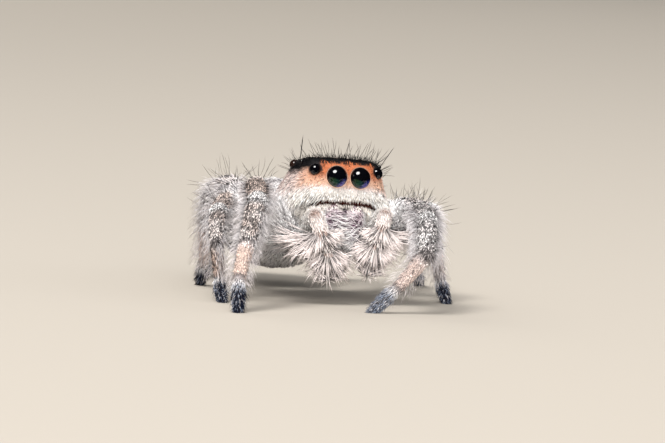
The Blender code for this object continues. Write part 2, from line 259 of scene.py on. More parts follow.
palps = {  # joint places on the floor's axes, x outward
    "r": ((0.68, 1.53, 2.85), (1.54, 0.94, 3.15), (1.58, -0.16, 3.75),
          (1.38, -0.38, 3.08), (1.08, -0.40, 2.30), (0.93, -0.16, 1.20)),
    "l": ((0.68, 1.50, 2.84), (1.28, 0.88, 3.18), (1.50, -0.16, 3.80),
          (1.32, -0.42, 3.25), (1.02, -0.44, 2.60), (0.84, -0.18, 1.38)),
    "flesh": (0.22, 0.24, 0.31, 0.30, 0.27, 0.22),
    "swell": (0.0,) * 5,
}
mouthparts = (((0.30, 1.42, 0.72), 0.30), ((0.24, 1.40, 0.48), 0.24))  # behind the jaws
jaws = {  # height, centre x, centre y, half width, half depth
    "rings": ((1.95, 0.50, 0.74, 0.36, 0.30), (1.75, 0.49, 0.72, 0.41, 0.35), (1.45, 0.48, 0.71, 0.43, 0.37),
              (0.95, 0.46, 0.70, 0.41, 0.35), (0.60, 0.45, 0.69, 0.38, 0.33), (0.35, 0.44, 0.70, 0.34, 0.30),
              (0.16, 0.45, 0.72, 0.26, 0.24)),
    "sides": 28,
    "fang": ((0.45, 0.70, 0.20, 0.15), (0.43, 0.62, 0.06, 0.13), (0.36, 0.62, -0.08, 0.10),
             (0.27, 0.68, -0.18, 0.065), (0.18, 0.78, -0.23, 0.02)),
}


def heading(azimuth, elevation, side):
    a, e = math.radians(azimuth), math.radians(elevation)
    return np.array((side * math.sin(a) * math.cos(e), -math.cos(a) * math.cos(e), math.sin(e)))


def legPoints(key):
    side, number = (1 if key[0] == "l" else -1), int(key[1])
    hip, socket = legs["hip"][number]
    points = [placed((side * legs["hipX"], hip, legs["hipZ"]))]
    for (azimuth, elevation), length in zip(pose[key], legs["lengths"][number]):
        points.append(points[-1] + heading(azimuth, elevation, side) * length)
    points[0] = placed((side * legs["hipX"], socket, legs["hipZ"]))
    points[-1] = points[-1] + unit(points[-1] - points[-2]) * legs["toe"]
    return np.array(points)


def limbChain(points, flesh, swell, side):
    runs = unit(np.diff(points, axis=0))
    bends = unit(np.vstack((runs[:1], runs[:-1] + runs[1:], runs[-1:])))
    hinge = unit(np.cross(points[-2] - points[1], (0.0, 0.0, 1.0)))
    return {"points": points, "flesh": np.array(flesh), "runs": runs, "bends": bends, "hinge": hinge,
            "swell": swell, "side": side}


limbs = {}
for key in pose:
    side = 1 if key[0] == "l" else -1
    limbs["leg_" + key] = limbChain(legPoints(key), legs["flesh"][int(key[1])], legs["swell"], side)
for letter, side in (("l", 1), ("r", -1)):
    points = np.array([(side * x, y, z) for x, y, z in palps[letter]])
    limbs["palp_" + letter] = limbChain(points, palps["flesh"], palps["swell"], side)


def edgesOf(verts):  # each edge once, in the order of the points
    return list(dict.fromkeys(edge for vert in verts for edge in vert.link_edges))


def sweep(bm, rings):  # a closed body drawn through rings of points, by extruding a circle
    mark = bm.verts.layers.int.get("place") or bm.verts.layers.int.new("place")
    first = bmesh.ops.create_circle(bm, cap_ends=False, segments=len(rings[0]), radius=1)["verts"]
    for place, vert in enumerate(first):
        vert[mark] = place
        vert.co = rings[0][place]
    edges = edgesOf(first)
    rim = list(edges)
    for ring in rings[1:]:
        grown = bmesh.ops.extrude_edge_only(bm, edges=edges)["geom"]
        for vert in (item for item in grown if isinstance(item, bmesh.types.BMVert)):
            vert.co = ring[vert[mark]]
        edges = [item for item in grown if isinstance(item, bmesh.types.BMEdge) and item.is_boundary]
    bmesh.ops.holes_fill(bm, edges=rim + edges, sides=0)


def roundRing(centre, axis, radius, sides):
    axis = unit(axis)
    across = unit(np.cross(axis, (0.31, 0.87, 0.21)))
    other = np.cross(axis, across)
    turns = np.linspace(0, 2 * math.pi, sides, endpoint=False)[:, None]
    return centre + (across * np.cos(turns) + other * np.sin(turns)) * radius


def ball(bm, centre, radius):
    made = bmesh.ops.create_icosphere(bm, subdivisions=3, radius=radius)["verts"]
    bmesh.ops.translate(bm, verts=made, vec=Vector(centre))


def finishPiece(name, bm, material, nodes=()):
    bmesh.ops.recalc_face_normals(bm, faces=bm.faces)
    bmesh.ops.translate(bm, verts=bm.verts, vec=Vector(shift))
    bmesh.ops.scale(bm, verts=bm.verts, vec=(mm, mm, mm))
    mesh = bpy.data.meshes.new(name)
    bm.to_mesh(mesh)
    bm.free()
    return settlePiece(name, mesh, material, nodes)


def settlePiece(name, mesh, material, nodes=()):
    mesh.shade_smooth()
    mesh.materials.append(material)
    piece = bpy.data.objects.new(name, mesh)
    bpy.context.scene.collection.objects.link(piece)
    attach(piece, "root")
    if nodes:
        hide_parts(*nodes)
    return piece


def foreRing(y, depth):
    top, topHalf, half, edge, under = (np.interp(y, foreBody["y"], foreBody[k])
                                       for k in ("top", "topHalf", "half", "edge", "under"))
    top, topHalf, half = top - depth, topHalf - depth * 0.6, half - depth
    fall = top - edge
    outline = [(0, top), (topHalf * 0.50, top - 0.02), (topHalf * 0.84, top - 0.06), (topHalf, top - 0.22),
               (topHalf + (half - topHalf) * 0.55, top - fall * 0.40),
               (topHalf + (half - topHalf) * 0.92, top - fall * 0.72),
               (half, edge + 0.12), (half - 0.10, edge), (min(0.9, half * 0.6), under), (0, under)]
    outline += [(-x, z) for x, z in outline[-2:0:-1]]
    return placed([(x, y, z) for x, z in outline])


def makeFlesh():
    bm = bmesh.new()
    depth = foreBody["coatDepth"]
    stations = (0.19, 0.24, 0.32, 0.45, 0.60, 0.80, 1.05, 1.34, 1.60, 1.90,
                2.30, 2.80, 3.30, 3.80, 4.30, 4.80, 5.30, 5.70, 6.00)
    sweep(bm, [foreRing(y, depth) for y in stations])
    rings = []
    for y, half, low, high in zip(*(sternum[k] for k in ("y", "half", "low", "high"))):
        turns = np.linspace(0, 2 * math.pi, 16, endpoint=False)
        middle, tall = (low + high) / 2, (high - low) / 2
        rings.append(placed([(half * math.cos(t), y, middle + tall * math.sin(t)) for t in turns]))
    sweep(bm, rings)
    for side in (-1, 1):
        for (x, y, z), radius in mouthparts:
            ball(bm, placed((side * x, y, z)), radius)
    start, end = np.array(waist["start"]), np.array(waist["end"])
    sweep(bm, [roundRing(start + (end - start) * f, end - start, waist["radius"], 16) for f in (0, 0.5, 1)])
    turns = np.linspace(0, 2 * math.pi, 32, endpoint=False)
    rings = []
    tip = (13.5, 13.7, 13.9, 14.1, 14.4, 14.62)
    for y in np.concatenate(((7.0, 7.1, 7.2, 7.35), np.arange(7.5, 13.4, 0.25), tip)):
        centre, half, rise = (np.interp(y, hindBody["y"], hindBody[k]) for k in ("centre", "half", "rise"))
        inset = hindBody["coatDepth"] * ease(half, 0.2, 0.9)
        half, rise = half - inset, rise - inset
        rings.append([(math.cos(t) * half, y, centre + math.sin(t) * rise) for t in turns])
    sweep(bm, rings)
    for limb in limbs.values():
        for k, run in enumerate(limb["runs"]):
            a, b = limb["points"][k], limb["points"][k + 1]
            ra, rb = limb["flesh"][k], limb["flesh"][k + 1]
            bulge = limb["swell"][k]
            sweep(bm, [roundRing(a + (b - a) * f, run, ra + (rb - ra) * f + bulge * math.sin(math.pi * f), 20)
                       for f in np.linspace(0, 1, 7)])
            ball(bm, b, rb)
    for name in eyes:  # a low collar of skin round each eye
        radius = eyes[name][3]
        rim = (-0.42, 1.0) if name == "ple" else (-0.16, 1.05)
        for side in (-1, 1):
            look, seat = eyeSeat(name, side)[:2]
            sweep(bm, [roundRing(seat - look * radius * behind, look, radius * wide, 32)
                       for behind, wide in ((1.5, 1.0), (0.4, 1.14), rim)])
    return bm


skinShape = {"voxel": 0.078, "smoothing": 6}


def fuseSkin():
    bm = makeFlesh()
    bmesh.ops.recalc_face_normals(bm, faces=bm.faces)
    rough = bpy.data.meshes.new("flesh")
    bm.to_mesh(rough)
    bm.free()
    body = bpy.data.objects.new("flesh", rough)
    bpy.context.scene.collection.objects.link(body)
    fuse = body.modifiers.new("fuse", "REMESH")
    fuse.mode = "VOXEL"
    fuse.voxel_size = skinShape["voxel"]
    relax = body.modifiers.new("relax", "SMOOTH")
    relax.factor = 0.5
    relax.iterations = skinShape["smoothing"]
    graph = bpy.context.evaluated_depsgraph_get()
    mesh = bpy.data.meshes.new_from_object(body.evaluated_get(graph))
    mesh.name = "skin"
    bpy.data.objects.remove(body)
    bpy.data.meshes.remove(rough)
    return mesh


def readPoints(mesh, kind="co"):
    values = np.zeros(len(mesh.vertices) * 3, np.float32)
    if kind == "co":
        mesh.vertices.foreach_get("co", values)
    else:
        mesh.vertex_normals.foreach_get("vector", values)
    return values.reshape(-1, 3).astype(float)


skinMesh = fuseSkin()
skinPoints = readPoints(skinMesh)
skinPoints[:, 2] = np.maximum(skinPoints[:, 2], 0.015)  # the pads stand just inside the floor level
skinMesh.vertices.foreach_set("co", skinPoints.astype(np.float32).ravel())
skinMesh.update()
skinNormals = readPoints(skinMesh, "normal")
skinMesh.calc_loop_triangles()
skinTriangles = np.zeros(len(skinMesh.loop_triangles) * 3, np.int32)
skinMesh.loop_triangles.foreach_get("vertices", skinTriangles)
skinTriangles = skinTriangles.reshape(-1, 3)
print("skin has", len(skinPoints), "points and", len(skinTriangles), "triangles")


def alongLimb(points, limb):  # distance outside the flesh, place along the chain, axis and direction outward
    gap = np.full(len(points), 1e9)
    place = np.zeros(len(points))
    foot = np.zeros((len(points), 3))
    axis = np.zeros((len(points), 3))
    for k, run in enumerate(limb["runs"]):
        a, b = limb["points"][k], limb["points"][k + 1]
        t = np.clip((points - a) @ (b - a) / ((b - a) @ (b - a)), 0, 1)
        here = a + t[:, None] * (b - a)
        radius = limb["flesh"][k] + (limb["flesh"][k + 1] - limb["flesh"][k]) * t
        outside = np.linalg.norm(points - here, axis=1) - radius - limb["swell"][k] * np.sin(math.pi * t)
        near = outside < gap
        gap[near], place[near], foot[near] = outside[near], k + t[near], here[near]
        early = np.clip(1 - 2 * t, 0, 1)[:, None]
        late = np.clip(2 * t - 1, 0, 1)[:, None]
        turn = unit(run * (1 - early - late) + limb["bends"][k] * early + limb["bends"][k + 1] * late)
        axis[near] = turn[near]
    return gap, place, axis, unit(points - foot)


partNames = ["fore", "hind"] + list(limbs)


def partOf(points):
    best = np.full(len(points), 0.085)
    part = np.where(points[:, 1] > 6.75, 1, 0)
    for index, name in enumerate(limbs):
        gap = np.abs(alongLimb(points, limbs[name])[0])
        near = gap < best
        best[near], part[near] = gap[near], index + 2
    return part


pointPart = partOf(skinPoints)
trianglePart = pointPart[skinTriangles[:, 0]]


def scatter(part, count, weight=None):  # roots spread evenly over a part's skin, denser by weight
    chosen = np.flatnonzero(trianglePart == partNames.index(part))
    corners = skinPoints[skinTriangles[chosen]]
    area = np.linalg.norm(np.cross(corners[:, 1] - corners[:, 0], corners[:, 2] - corners[:, 0]), axis=1)
    if weight is not None:
        area = area * weight(corners.mean(axis=1))
    ladder = np.cumsum(area)
    rungs = (np.arange(count) + dice.random(count)) / count * ladder[-1]
    pick = np.searchsorted(ladder, rungs)
    u, v = dice.random(count), dice.random(count)
    over = u + v > 1
    u[over], v[over] = 1 - u[over], 1 - v[over]
    share = np.stack((1 - u - v, u, v), axis=1)[:, :, None]
    roots = (corners[pick] * share).sum(axis=1)
    normals = unit((skinNormals[skinTriangles[chosen[pick]]] * share).sum(axis=1))
    return roots, normals


# Colours of the markings, which the skin and the coat share
tints = {
    "white": paint(255, 252, 251), "cream": paint(255, 248, 240), "blush": paint(252, 232, 226),
    "peach": paint(246, 200, 172), "orange": paint(208, 120, 76), "band": paint(8, 9, 13),
    "dusk": paint(126, 114, 110), "rust": paint(62, 22, 14), "ash": paint(230, 226, 228),
    "pepper": paint(34, 30, 32), "navy": paint(22, 28, 48), "slate": paint(150, 160, 178),
    "brown": paint(150, 112, 94), "lilac": paint(224, 196, 210), "plum": paint(70, 40, 58),
    "tan": paint(214, 186, 168), "soot": paint(24, 20, 21),
}


def evenTone(name, count):  # one colour for each of many points or hairs
    return np.tile(tints[name], (count, 1))


def mixIn(tone, name, amount):
    amount = np.clip(np.broadcast_to(amount, len(tone)), 0, 1)[:, None]
    return tone * (1 - amount) + tints[name] * amount


def mottle(points, size):  # soft blotches, about -1 to 1
    x, y, z = (points / size).T
    waves = np.sin(x * 1.7 + np.sin(y * 2.3)) + np.sin(y * 1.9 + 1.3 + np.sin(z * 2.1))
    return (waves + np.sin(z * 1.6 + 0.7 + np.sin(x * 2.7))) / 2.2


def foreMarks(points):  # coat colour and share of dark hairs on the head and chest
    x, y, z = levelled(points).T
    x = np.abs(x)
    tone = evenTone("white", len(points))
    front = 1 - ease(y, 0.7, 1.8)
    tone = mixIn(tone, "blush", ease(z, 2.0, 2.8) * (1 - ease(y, 3.2, 4.8)))
    tone = mixIn(tone, "cream", (1 - ease(z, 2.3, 2.5)) * front)
    tone = mixIn(tone, "peach", ease(z, 2.40, 2.72) * (1 - ease(y, 0.6, 1.6)) * (1 - 0.6 * ease(x, 1.6, 2.0)))
    orange = ease(z, 2.66, 3.14) * (1 - ease(y, 0.45, 1.2)) * (1 - 0.8 * ease(x, 1.35, 1.85))
    tone = mixIn(tone, "orange", orange)  # round the front eyes
    tone = mixIn(tone, "dusk", ease(y, 2.5, 3.4) * ease(z, 2.3, 3.2) * 0.75)  # the back of the head
    tone = mixIn(tone, "cream", ease(y, 3.9, 4.4) * (1 - ease(y, 5.0, 5.6)) * ease(x, 0.9, 0.2) * 0.5)
    # the black band over the eyes and down behind them
    bandLow = 3.51 - 0.24 * ease(x, 1.15, 1.5) + 0.05 * ease(x, 1.4, 1.6) * mottle(points, 0.11)
    soft = 0.03 + 0.08 * ease(x, 1.3, 1.5)
    rough = 0.16 * mottle(points, 0.16)
    bandBack = 1.15 + 1.25 * ease(x, 1.1, 1.6) + rough
    band = ease(z, bandLow - soft, bandLow + soft) * (1 - ease(y - bandBack, -0.15, 0.30))
    aleX, aleY, aleZ, aleRadius = eyes["ale"]
    fromEye = np.sqrt((x - aleX) ** 2 + (y - aleY) ** 2 + (z - aleZ) ** 2)
    aleRing = 1 - ease(fromEye, aleRadius + 0.05, aleRadius + 0.12)
    band = np.maximum(band, aleRing * ease(z, aleZ - 0.25, aleZ))
    crown = ease(z, 3.0, 3.7) * ease(y, 0.9, 1.2) * (1 - ease(y + 2 * rough, 2.0, 3.8))
    tone = mixIn(tone, "orange", crown * 0.20)
    tone = mixIn(tone, "dusk", crown * (0.40 + 0.15 * mottle(points, 0.35)))
    tone = mixIn(tone, "band", band)
    tone = mixIn(tone, "dusk", (1 - ease(z, 0.9, 1.3)) * 0.3)
    pepper = 0.06 + 0.34 * ease(z, 2.6, 3.2) * front * (1 - ease(x, 1.35, 1.7))
    pepper += (0.10 + 0.08 * mottle(points, 0.5)) * (1 - ease(z, 1.9, 2.6)) * ease(y, 0.5, 1.2)
    pepper = np.where((z < 2.5) & (y < 0.6), 0.01, pepper) + 0.35 * ease(y, 2.6, 3.6) * ease(z, 2.3, 3.0)
    pepper = pepper + 0.30 * crown
    return tone, pepper * (1 - band)


def hindMarks(points):  # a grey back with a pale front band, side stripes, dark pairs and white spots
    x, y, z = np.abs(points[:, 0]), points[:, 1], points[:, 2]
    tone = evenTone("ash", len(points))
    upper = ease(z, 2.3, 3.1)
    tone = mixIn(tone, "dusk", 0.30 * upper)
    tone = mixIn(tone, "white", (1 - ease(y, 8.0, 8.9)) * 0.9)  # pale band at the front
    stripes = ease(np.sin((y - 0.45 * x) * 3.1), 0.45, 0.85) * ease(x, 1.2, 1.7) * ease(y, 8.9, 9.4)
    tone = mixIn(tone, "white", stripes * 0.9)
    pairs = np.exp(-((x - 0.66) / 0.34) ** 2) * ease(np.sin((y - 8.9) * 2.2), -0.2, 0.4) * ease(y, 8.8, 9.2)
    pairs = pairs * upper * (1 - ease(y, 13.0, 13.6))
    tone = mixIn(tone, "pepper", pairs * 0.92)
    spots = (1 - ease(x, 0.34, 0.50)) * ease(y, 9.8, 9.95) * (1 - ease(y + 1.2 * x, 10.7, 10.95))
    for spotY, spotX in ((9.2, 0.95), (11.7, 0.80), (12.7, 0.55)):
        spots = np.maximum(spots, 1 - ease(np.hypot(x - spotX, y - spotY), 0.19, 0.27))
    tone = mixIn(tone, "white", spots * upper)
    tone = mixIn(tone, "dusk", (1 - ease(z, 0.9, 1.7)) * ease(y, 8.0, 9.5) * 0.5)
    tone = mixIn(tone, "soot", ease(y, 13.9, 14.2) * 0.8)
    pepper = 0.13 + 0.05 * mottle(points, 0.6) - 0.08 * (1 - ease(y, 8.0, 8.9))
    return tone, pepper * (1 - spots)


def backOfLimb(limb, axis, outward):  # 1 along the back of a limb, -1 along its underside
    return dot(outward, unit(np.cross(limb["hinge"], axis)))[:, 0]


def legMarks(name, place, above, points):  # tan and peppered above, pale lower down, with a dark foot
    tone = evenTone("white", len(points))
    above = ease(above, -0.5, 0.3)
    number = int(name[-1])
    blotch = mottle(points, 0.28)
    tone = mixIn(tone, "ash", (0.30 if number < 3 else 0.6) + 0.25 * blotch)
    tone = mixIn(tone, "blush", ease(place, 3.7, 4.2) * (1 - ease(place, 4.9, 5.1)) * 0.75)
    knee = ease(place, 1.85, 2.1) * (1 - ease(place, 2.8, 3.0)) * above
    shin = ease(place, 3.05, 3.2) * (1 - ease(place, 3.8, 4.0)) * above
    warmth = {"leg_r1": 1.0, "leg_r2": 0.9, "leg_l1": 0.25}.get(name, 0.5)
    tone = mixIn(tone, "tan", (knee * 0.7 + shin * (0.45 + 0.2 * blotch)) * warmth)
    pale = ease(place, 4.05, 4.3) * (1 - ease(place, 4.8, 5.0))
    tone = mixIn(tone, "peach", pale * above * (0.15 + 0.10 * warmth))
    tone = mixIn(tone, "tan", pale * 0.5 * warmth)
    tone = mixIn(tone, "white", (1 - ease(place, 1.6, 1.9)) * 0.7)
    tone = mixIn(tone, "white", 1 - ease(np.abs(place - 2.95), 0.04, 0.09))
    for ring, half, strength in ((3.07, 0.03, 0.4), (3.98, 0.025, 0.7), (4.93, 0.03, 0.6)):
        tone = mixIn(tone, "pepper", (1 - ease(np.abs(place - ring), half, half * 2.2)) * strength * above)
    foot = ease(place, 5.0, 5.3)
    tone = mixIn(tone, "slate", foot * (0.55 + 0.3 * blotch))
    tone = mixIn(tone, "navy", ease(place, 5.1, 5.4) * (0.72 if name == "leg_l1" else 1.0))
    pepper = 0.09 + 0.27 * knee + 0.27 * shin + 0.10 * ease(place, 1.6, 2.2) * (1 - ease(place, 4.0, 4.3))
    lower = ease(place, 4.0, 4.2) * (1 - ease(place, 4.8, 5.0))
    pepper = pepper * (1 - 0.5 * ease(place, 4.0, 4.3)) + (0.30 if number == 2 else 0.0) * lower * above
    return tone, np.clip(pepper + 0.05 * blotch, 0.02, 0.5) * (1 - foot)


def palpMarks(place, facing, points):  # cream, with a brown mark at each joint
    tone = evenTone("cream", len(points))
    tone = mixIn(tone, "white", 0.5)
    tone = mixIn(tone, "blush", ease(place, 1.8, 2.1) * (1 - ease(place, 3.6, 4.2)) * 0.5)
    facing = ease(facing, 0.3, 0.8)
    for joint, strength in ((1.97, 0.8), (3.0, 0.8), (4.0, 0.8)):
        spot = (1 - ease(np.abs(place - joint), 0.02, 0.08)) * facing
        tone = mixIn(tone, "brown", spot * strength)
    tone = mixIn(tone, "slate", ease(place, 4.8, 5.2) * 0.18)
    return tone, np.full(len(points), 0.02)


def marksAt(part, points):
    if part == "fore":
        return foreMarks(points)
    if part == "hind":
        return hindMarks(points)
    place, axis, outward = alongLimb(points, limbs[part])[1:]
    if part.startswith("palp"):
        return palpMarks(place, outward @ back, points)
    return legMarks(part, place, backOfLimb(limbs[part], axis, outward), points)


def unwrap(part, points):  # a point's place on an unwrap of the part's own shape, for the baked colours
    if part == "fore":
        x, y, z = (levelled(points) - (0, 3.0, 2.2)).T
        u = 0.5 + np.arctan2(x, -y) / (2 * math.pi)
        v = 0.5 + np.arctan2(z, np.hypot(x, y)) / math.pi
    elif part == "hind":
        u = 0.5 + np.arctan2(points[:, 0], points[:, 2] - 2.6) / (2 * math.pi)
        v = (points[:, 1] - 6.7) / 8.2
    else:
        limb = limbs[part]
        place, axis, outward = alongLimb(points, limb)[1:]
        across = dot(outward, np.cross(axis, limb["hinge"]))[:, 0]
        u = 0.5 + np.arctan2(outward @ limb["hinge"], across) / (2 * math.pi)
        v = place / len(limb["runs"])
    return 0.004 + 0.985 * np.clip(np.stack((u, v), axis=1), 0, 1)


def grainGroup():  # mottles a colour finely and gives the height of lying hair
    group = bpy.data.node_groups.new("hairGrain", "ShaderNodeTree")
    for name, kind, value in (("Tone", "NodeSocketColor", None), ("Scale", "NodeSocketFloat", 9000.0),
                              ("Amount", "NodeSocketFloat", 0.3)):
        socket = group.interface.new_socket(name=name, in_out="INPUT", socket_type=kind)
        if value is not None:
            socket.default_value = value
    group.interface.new_socket(name="Colour", in_out="OUTPUT", socket_type="NodeSocketColor")
    group.interface.new_socket(name="Height", in_out="OUTPUT", socket_type="NodeSocketFloat")
    node, link = group.nodes.new, group.links.new
    start, end = node("NodeGroupInput"), node("NodeGroupOutput")
    where, noise = node("ShaderNodeTexCoord"), node("ShaderNodeTexNoise")
    noise.inputs["Detail"].default_value = 2
    spread, darken = node("ShaderNodeMapRange"), node("ShaderNodeMix")
    darken.data_type = "RGBA"
    darken.blend_type = "MULTIPLY"
    spread.inputs["From Min"].default_value = 0.3
    spread.inputs["From Max"].default_value = 0.7
    spread.inputs["To Min"].default_value = 0.35
    spread.inputs["To Max"].default_value = 1.15
    spread.clamp = True
    link(where.outputs["Object"], noise.inputs["Vector"])
    link(start.outputs["Scale"], noise.inputs["Scale"])
    link(noise.outputs["Fac"], spread.inputs["Value"])
    link(start.outputs["Amount"], darken.inputs["Factor"])
    link(start.outputs["Tone"], darken.inputs["A"])
    link(spread.outputs["Result"], darken.inputs["B"])
    link(darken.outputs["Result"], end.inputs["Colour"])
    link(noise.outputs["Fac"], end.inputs["Height"])
    return group


hairGrain = grainGroup()


def tonedMaterial(name, scale=9000.0, amount=0.3, bump=0.0, tint=None, **fixed):  # fixed: Principled sockets
    material = bpy.data.materials.new(name)
    material.use_nodes = True
    nodes, link = material.node_tree.nodes, material.node_tree.links.new
    shader = nodes["Principled BSDF"]
    grain = nodes.new("ShaderNodeGroup")
    grain.node_tree = hairGrain
    grain.inputs["Scale"].default_value = scale
    grain.inputs["Amount"].default_value = amount
    if tint is None:
        tone = nodes.new("ShaderNodeAttribute")
        tone.attribute_name = "tone"
        link(tone.outputs["Color"], grain.inputs["Tone"])
    else:
        grain.inputs["Tone"].default_value = (*tint, 1)
    link(grain.outputs["Colour"], shader.inputs["Base Color"])
    if bump:
        raiseIt = nodes.new("ShaderNodeBump")
        raiseIt.inputs["Strength"].default_value = bump
        raiseIt.inputs["Distance"].default_value = 0.03 * mm
        link(grain.outputs["Height"], raiseIt.inputs["Height"])
        link(raiseIt.outputs["Normal"], shader.inputs["Normal"])
    for socket, value in fixed.items():
        shader.inputs[socket.replace("_", " ")].default_value = value
    return material


furFinish = tonedMaterial("softFur", 6000, 0.25, Roughness=0.62, Specular_IOR_Level=0.22)
skinFinish = tonedMaterial("furredSkin", 14000, 0.5, 0.8, Roughness=0.75, Specular_IOR_Level=0.25)
bristleFinish = tonedMaterial("darkBristle", 6000, 0.2, Roughness=0.38, Specular_IOR_Level=0.5)
eyeFinish = tonedMaterial("eyeGlass", 2500, 0.0, Roughness=0.035, Specular_IOR_Level=0.5, Coat_Weight=0.3,
                          Coat_Roughness=0.02)
rimFinish = tonedMaterial("eyeRim", 9000, 0.3, Roughness=0.45)
jawFinish = tonedMaterial("jawShell", 3500, 0.55, 0.35, Metallic=0.15, Roughness=0.35, Coat_Weight=0.3,
                          Coat_Roughness=0.15)
clawFinish = tonedMaterial("claw", 5000, 0.3, 0.1, tint=paint(38, 20, 14), Roughness=0.22, Coat_Weight=0.4,
                           Coat_Roughness=0.1)


def setTone(mesh, tone):
    attribute = mesh.attributes.new("tone", "FLOAT_COLOR", "POINT")
    values = np.ones((len(mesh.vertices), 4), np.float32)
    values[:, :3] = np.clip(tone, 0, 1)
    attribute.data.foreach_set("color", values.ravel())


# How much of the coat's colour the skin keeps under it; the rest is soot black, painted shade in the gaps
# between the hairs
skinShade = {"fore": 0.28, "hind": 0.28, "leg": 0.18, "palp": 0.12}


def finishSkin():
    tone = np.zeros((len(skinPoints), 3))
    for index, part in enumerate(partNames):
        here = np.flatnonzero(pointPart == index)
        coat = marksAt(part, skinPoints[here])[0]
        keep = np.full(len(here), skinShade[part.split("_")[0]])
        if part.startswith("leg"):
            place = alongLimb(skinPoints[here], limbs[part])[1]
            # painted light: the skin keeps more of the coat's colour on the metatarsus and the femur, lifting
            # parts that face down or lie in the body's shade
            keep = keep + 0.22 * ease(place, 4.0, 4.2) * (1 - ease(place, 4.9, 5.1))
            keep = keep + 0.25 * (1 - ease(place, 1.6, 2.0))
        if part.startswith("palp"):
            # less painted shade under the palp's first segments
            keep = keep + 0.3 * (1 - ease(alongLimb(skinPoints[here], limbs[part])[1], 2.8, 3.3))
        if part == "fore":
            y, z = levelled(skinPoints[here]).T[1:]
            keep = keep + 0.24 * (1 - ease(y, 1.2, 2.4)) * ease(z, 2.0, 2.3)
        # painted shade: the skin under the coat is darkened towards soot
        tone[here] = tints["soot"] * (1 - keep[:, None]) + coat * keep[:, None]
    skinMesh.vertices.foreach_set("co", ((skinPoints + shift) * mm).astype(np.float32).ravel())
    skinMesh.update()
    setTone(skinMesh, tone)
    flesh = [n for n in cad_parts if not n.startswith(("eye_", "chelicera_", "fang_"))]
    settlePiece("skin", skinMesh, skinFinish, flesh)


finishSkin()
print("skin is painted")


def columns(x, y, z):  # three lists or single numbers as one list of points
    return np.stack(np.broadcast_arrays(x, y, z), axis=1)


# Hairs on one part: lie is the way they lean and lift the angle, in degrees, at which they set off;
# bend lays them back down, wander scatters them and sink buries the root.
def strand(part, root, normal, lie, length, lift, width, tone, bend=0.6, wander=0.12, sink=0.03):
    sizes = {"length": length, "lift": lift, "width": width, "bend": bend, "wander": wander, "sink": sink}
    hair = {key: np.broadcast_to(value, len(root)) for key, value in sizes.items()}
    hair.update({"root": root, "normal": normal, "lie": lie, "tone": tone, "spot": unwrap(part, root)})
    return hair


def together(sets):
    return {key: np.concatenate([one[key] for one in sets]) for key in sets[0]}


def clumpPull(root, tips, share, strength):  # tips lean to the tip of the nearest leading hair
    leaders = dice.choice(len(root), max(1, int(len(root) * share)), replace=False)
    tree = kdtree.KDTree(len(leaders))
    for index, leader in enumerate(leaders):
        tree.insert(root[leader], index)
    tree.balance()
    near = leaders[np.array([tree.find(place)[1] for place in root])]
    return (tips[near] - tips) * strength


# Each hair is a closed three-sided spike with the given number of rings below its tip
def growHair(name, hair, material=None, rings=2, clump=0.0, clumpShare=0.12, rootShade=0.45):
    root, normal = hair["root"], hair["normal"]
    count = len(root)
    lie = unit(hair["lie"] - normal * dot(hair["lie"], normal))
    lift = np.radians(hair["lift"])[:, None]
    astray = dice.normal(size=(count, 3)) * hair["wander"][:, None]
    start = unit(lie * np.cos(lift) + normal * np.sin(lift) + astray)
    length, bend = hair["length"][:, None], hair["bend"][:, None]
    root = root - normal * hair["sink"][:, None]
    tips = root + start * length + (lie - start) * length * bend
    pull = clumpPull(root, tips, clumpShare, clump) if clump else np.zeros_like(tips)
    steps = np.linspace(0, 1, rings + 1)
    spine = [root + start * (length * f) + ((lie - start) * length * bend + pull) * f * f for f in steps]
    points = np.zeros((count, 3 * rings + 1, 3))
    for k in range(rings):
        along = unit(spine[k + 1] - spine[k])
        side = unit(np.cross(along, normal))
        rise = np.cross(along, side)
        radius = hair["width"][:, None] / 2 * (1 - steps[k]) ** 0.45 * (0.6 + 0.8 * steps[k])
        for i, turn in enumerate((0, 2 * math.pi / 3, 4 * math.pi / 3)):
            points[:, 3 * k + i] = spine[k] + (side * math.cos(turn) + rise * math.sin(turn) * 0.7) * radius
    points[:, -1] = spine[-1]
    points[:, :, 2] = np.maximum(points[:, :, 2], 0.004)
    faces = [(0, 2, 1)]
    for k in range(rings - 1):
        faces += [(3 * k + i, 3 * k + (i + 1) % 3, 3 * k + 3 + (i + 1) % 3, 3 * k + 3 + i) for i in range(3)]
    faces += [(3 * rings - 3 + i, 3 * rings - 3 + (i + 1) % 3, 3 * rings) for i in range(3)]
    return joinStrands(name, points, faces, hair, steps, material or furFinish, rootShade)


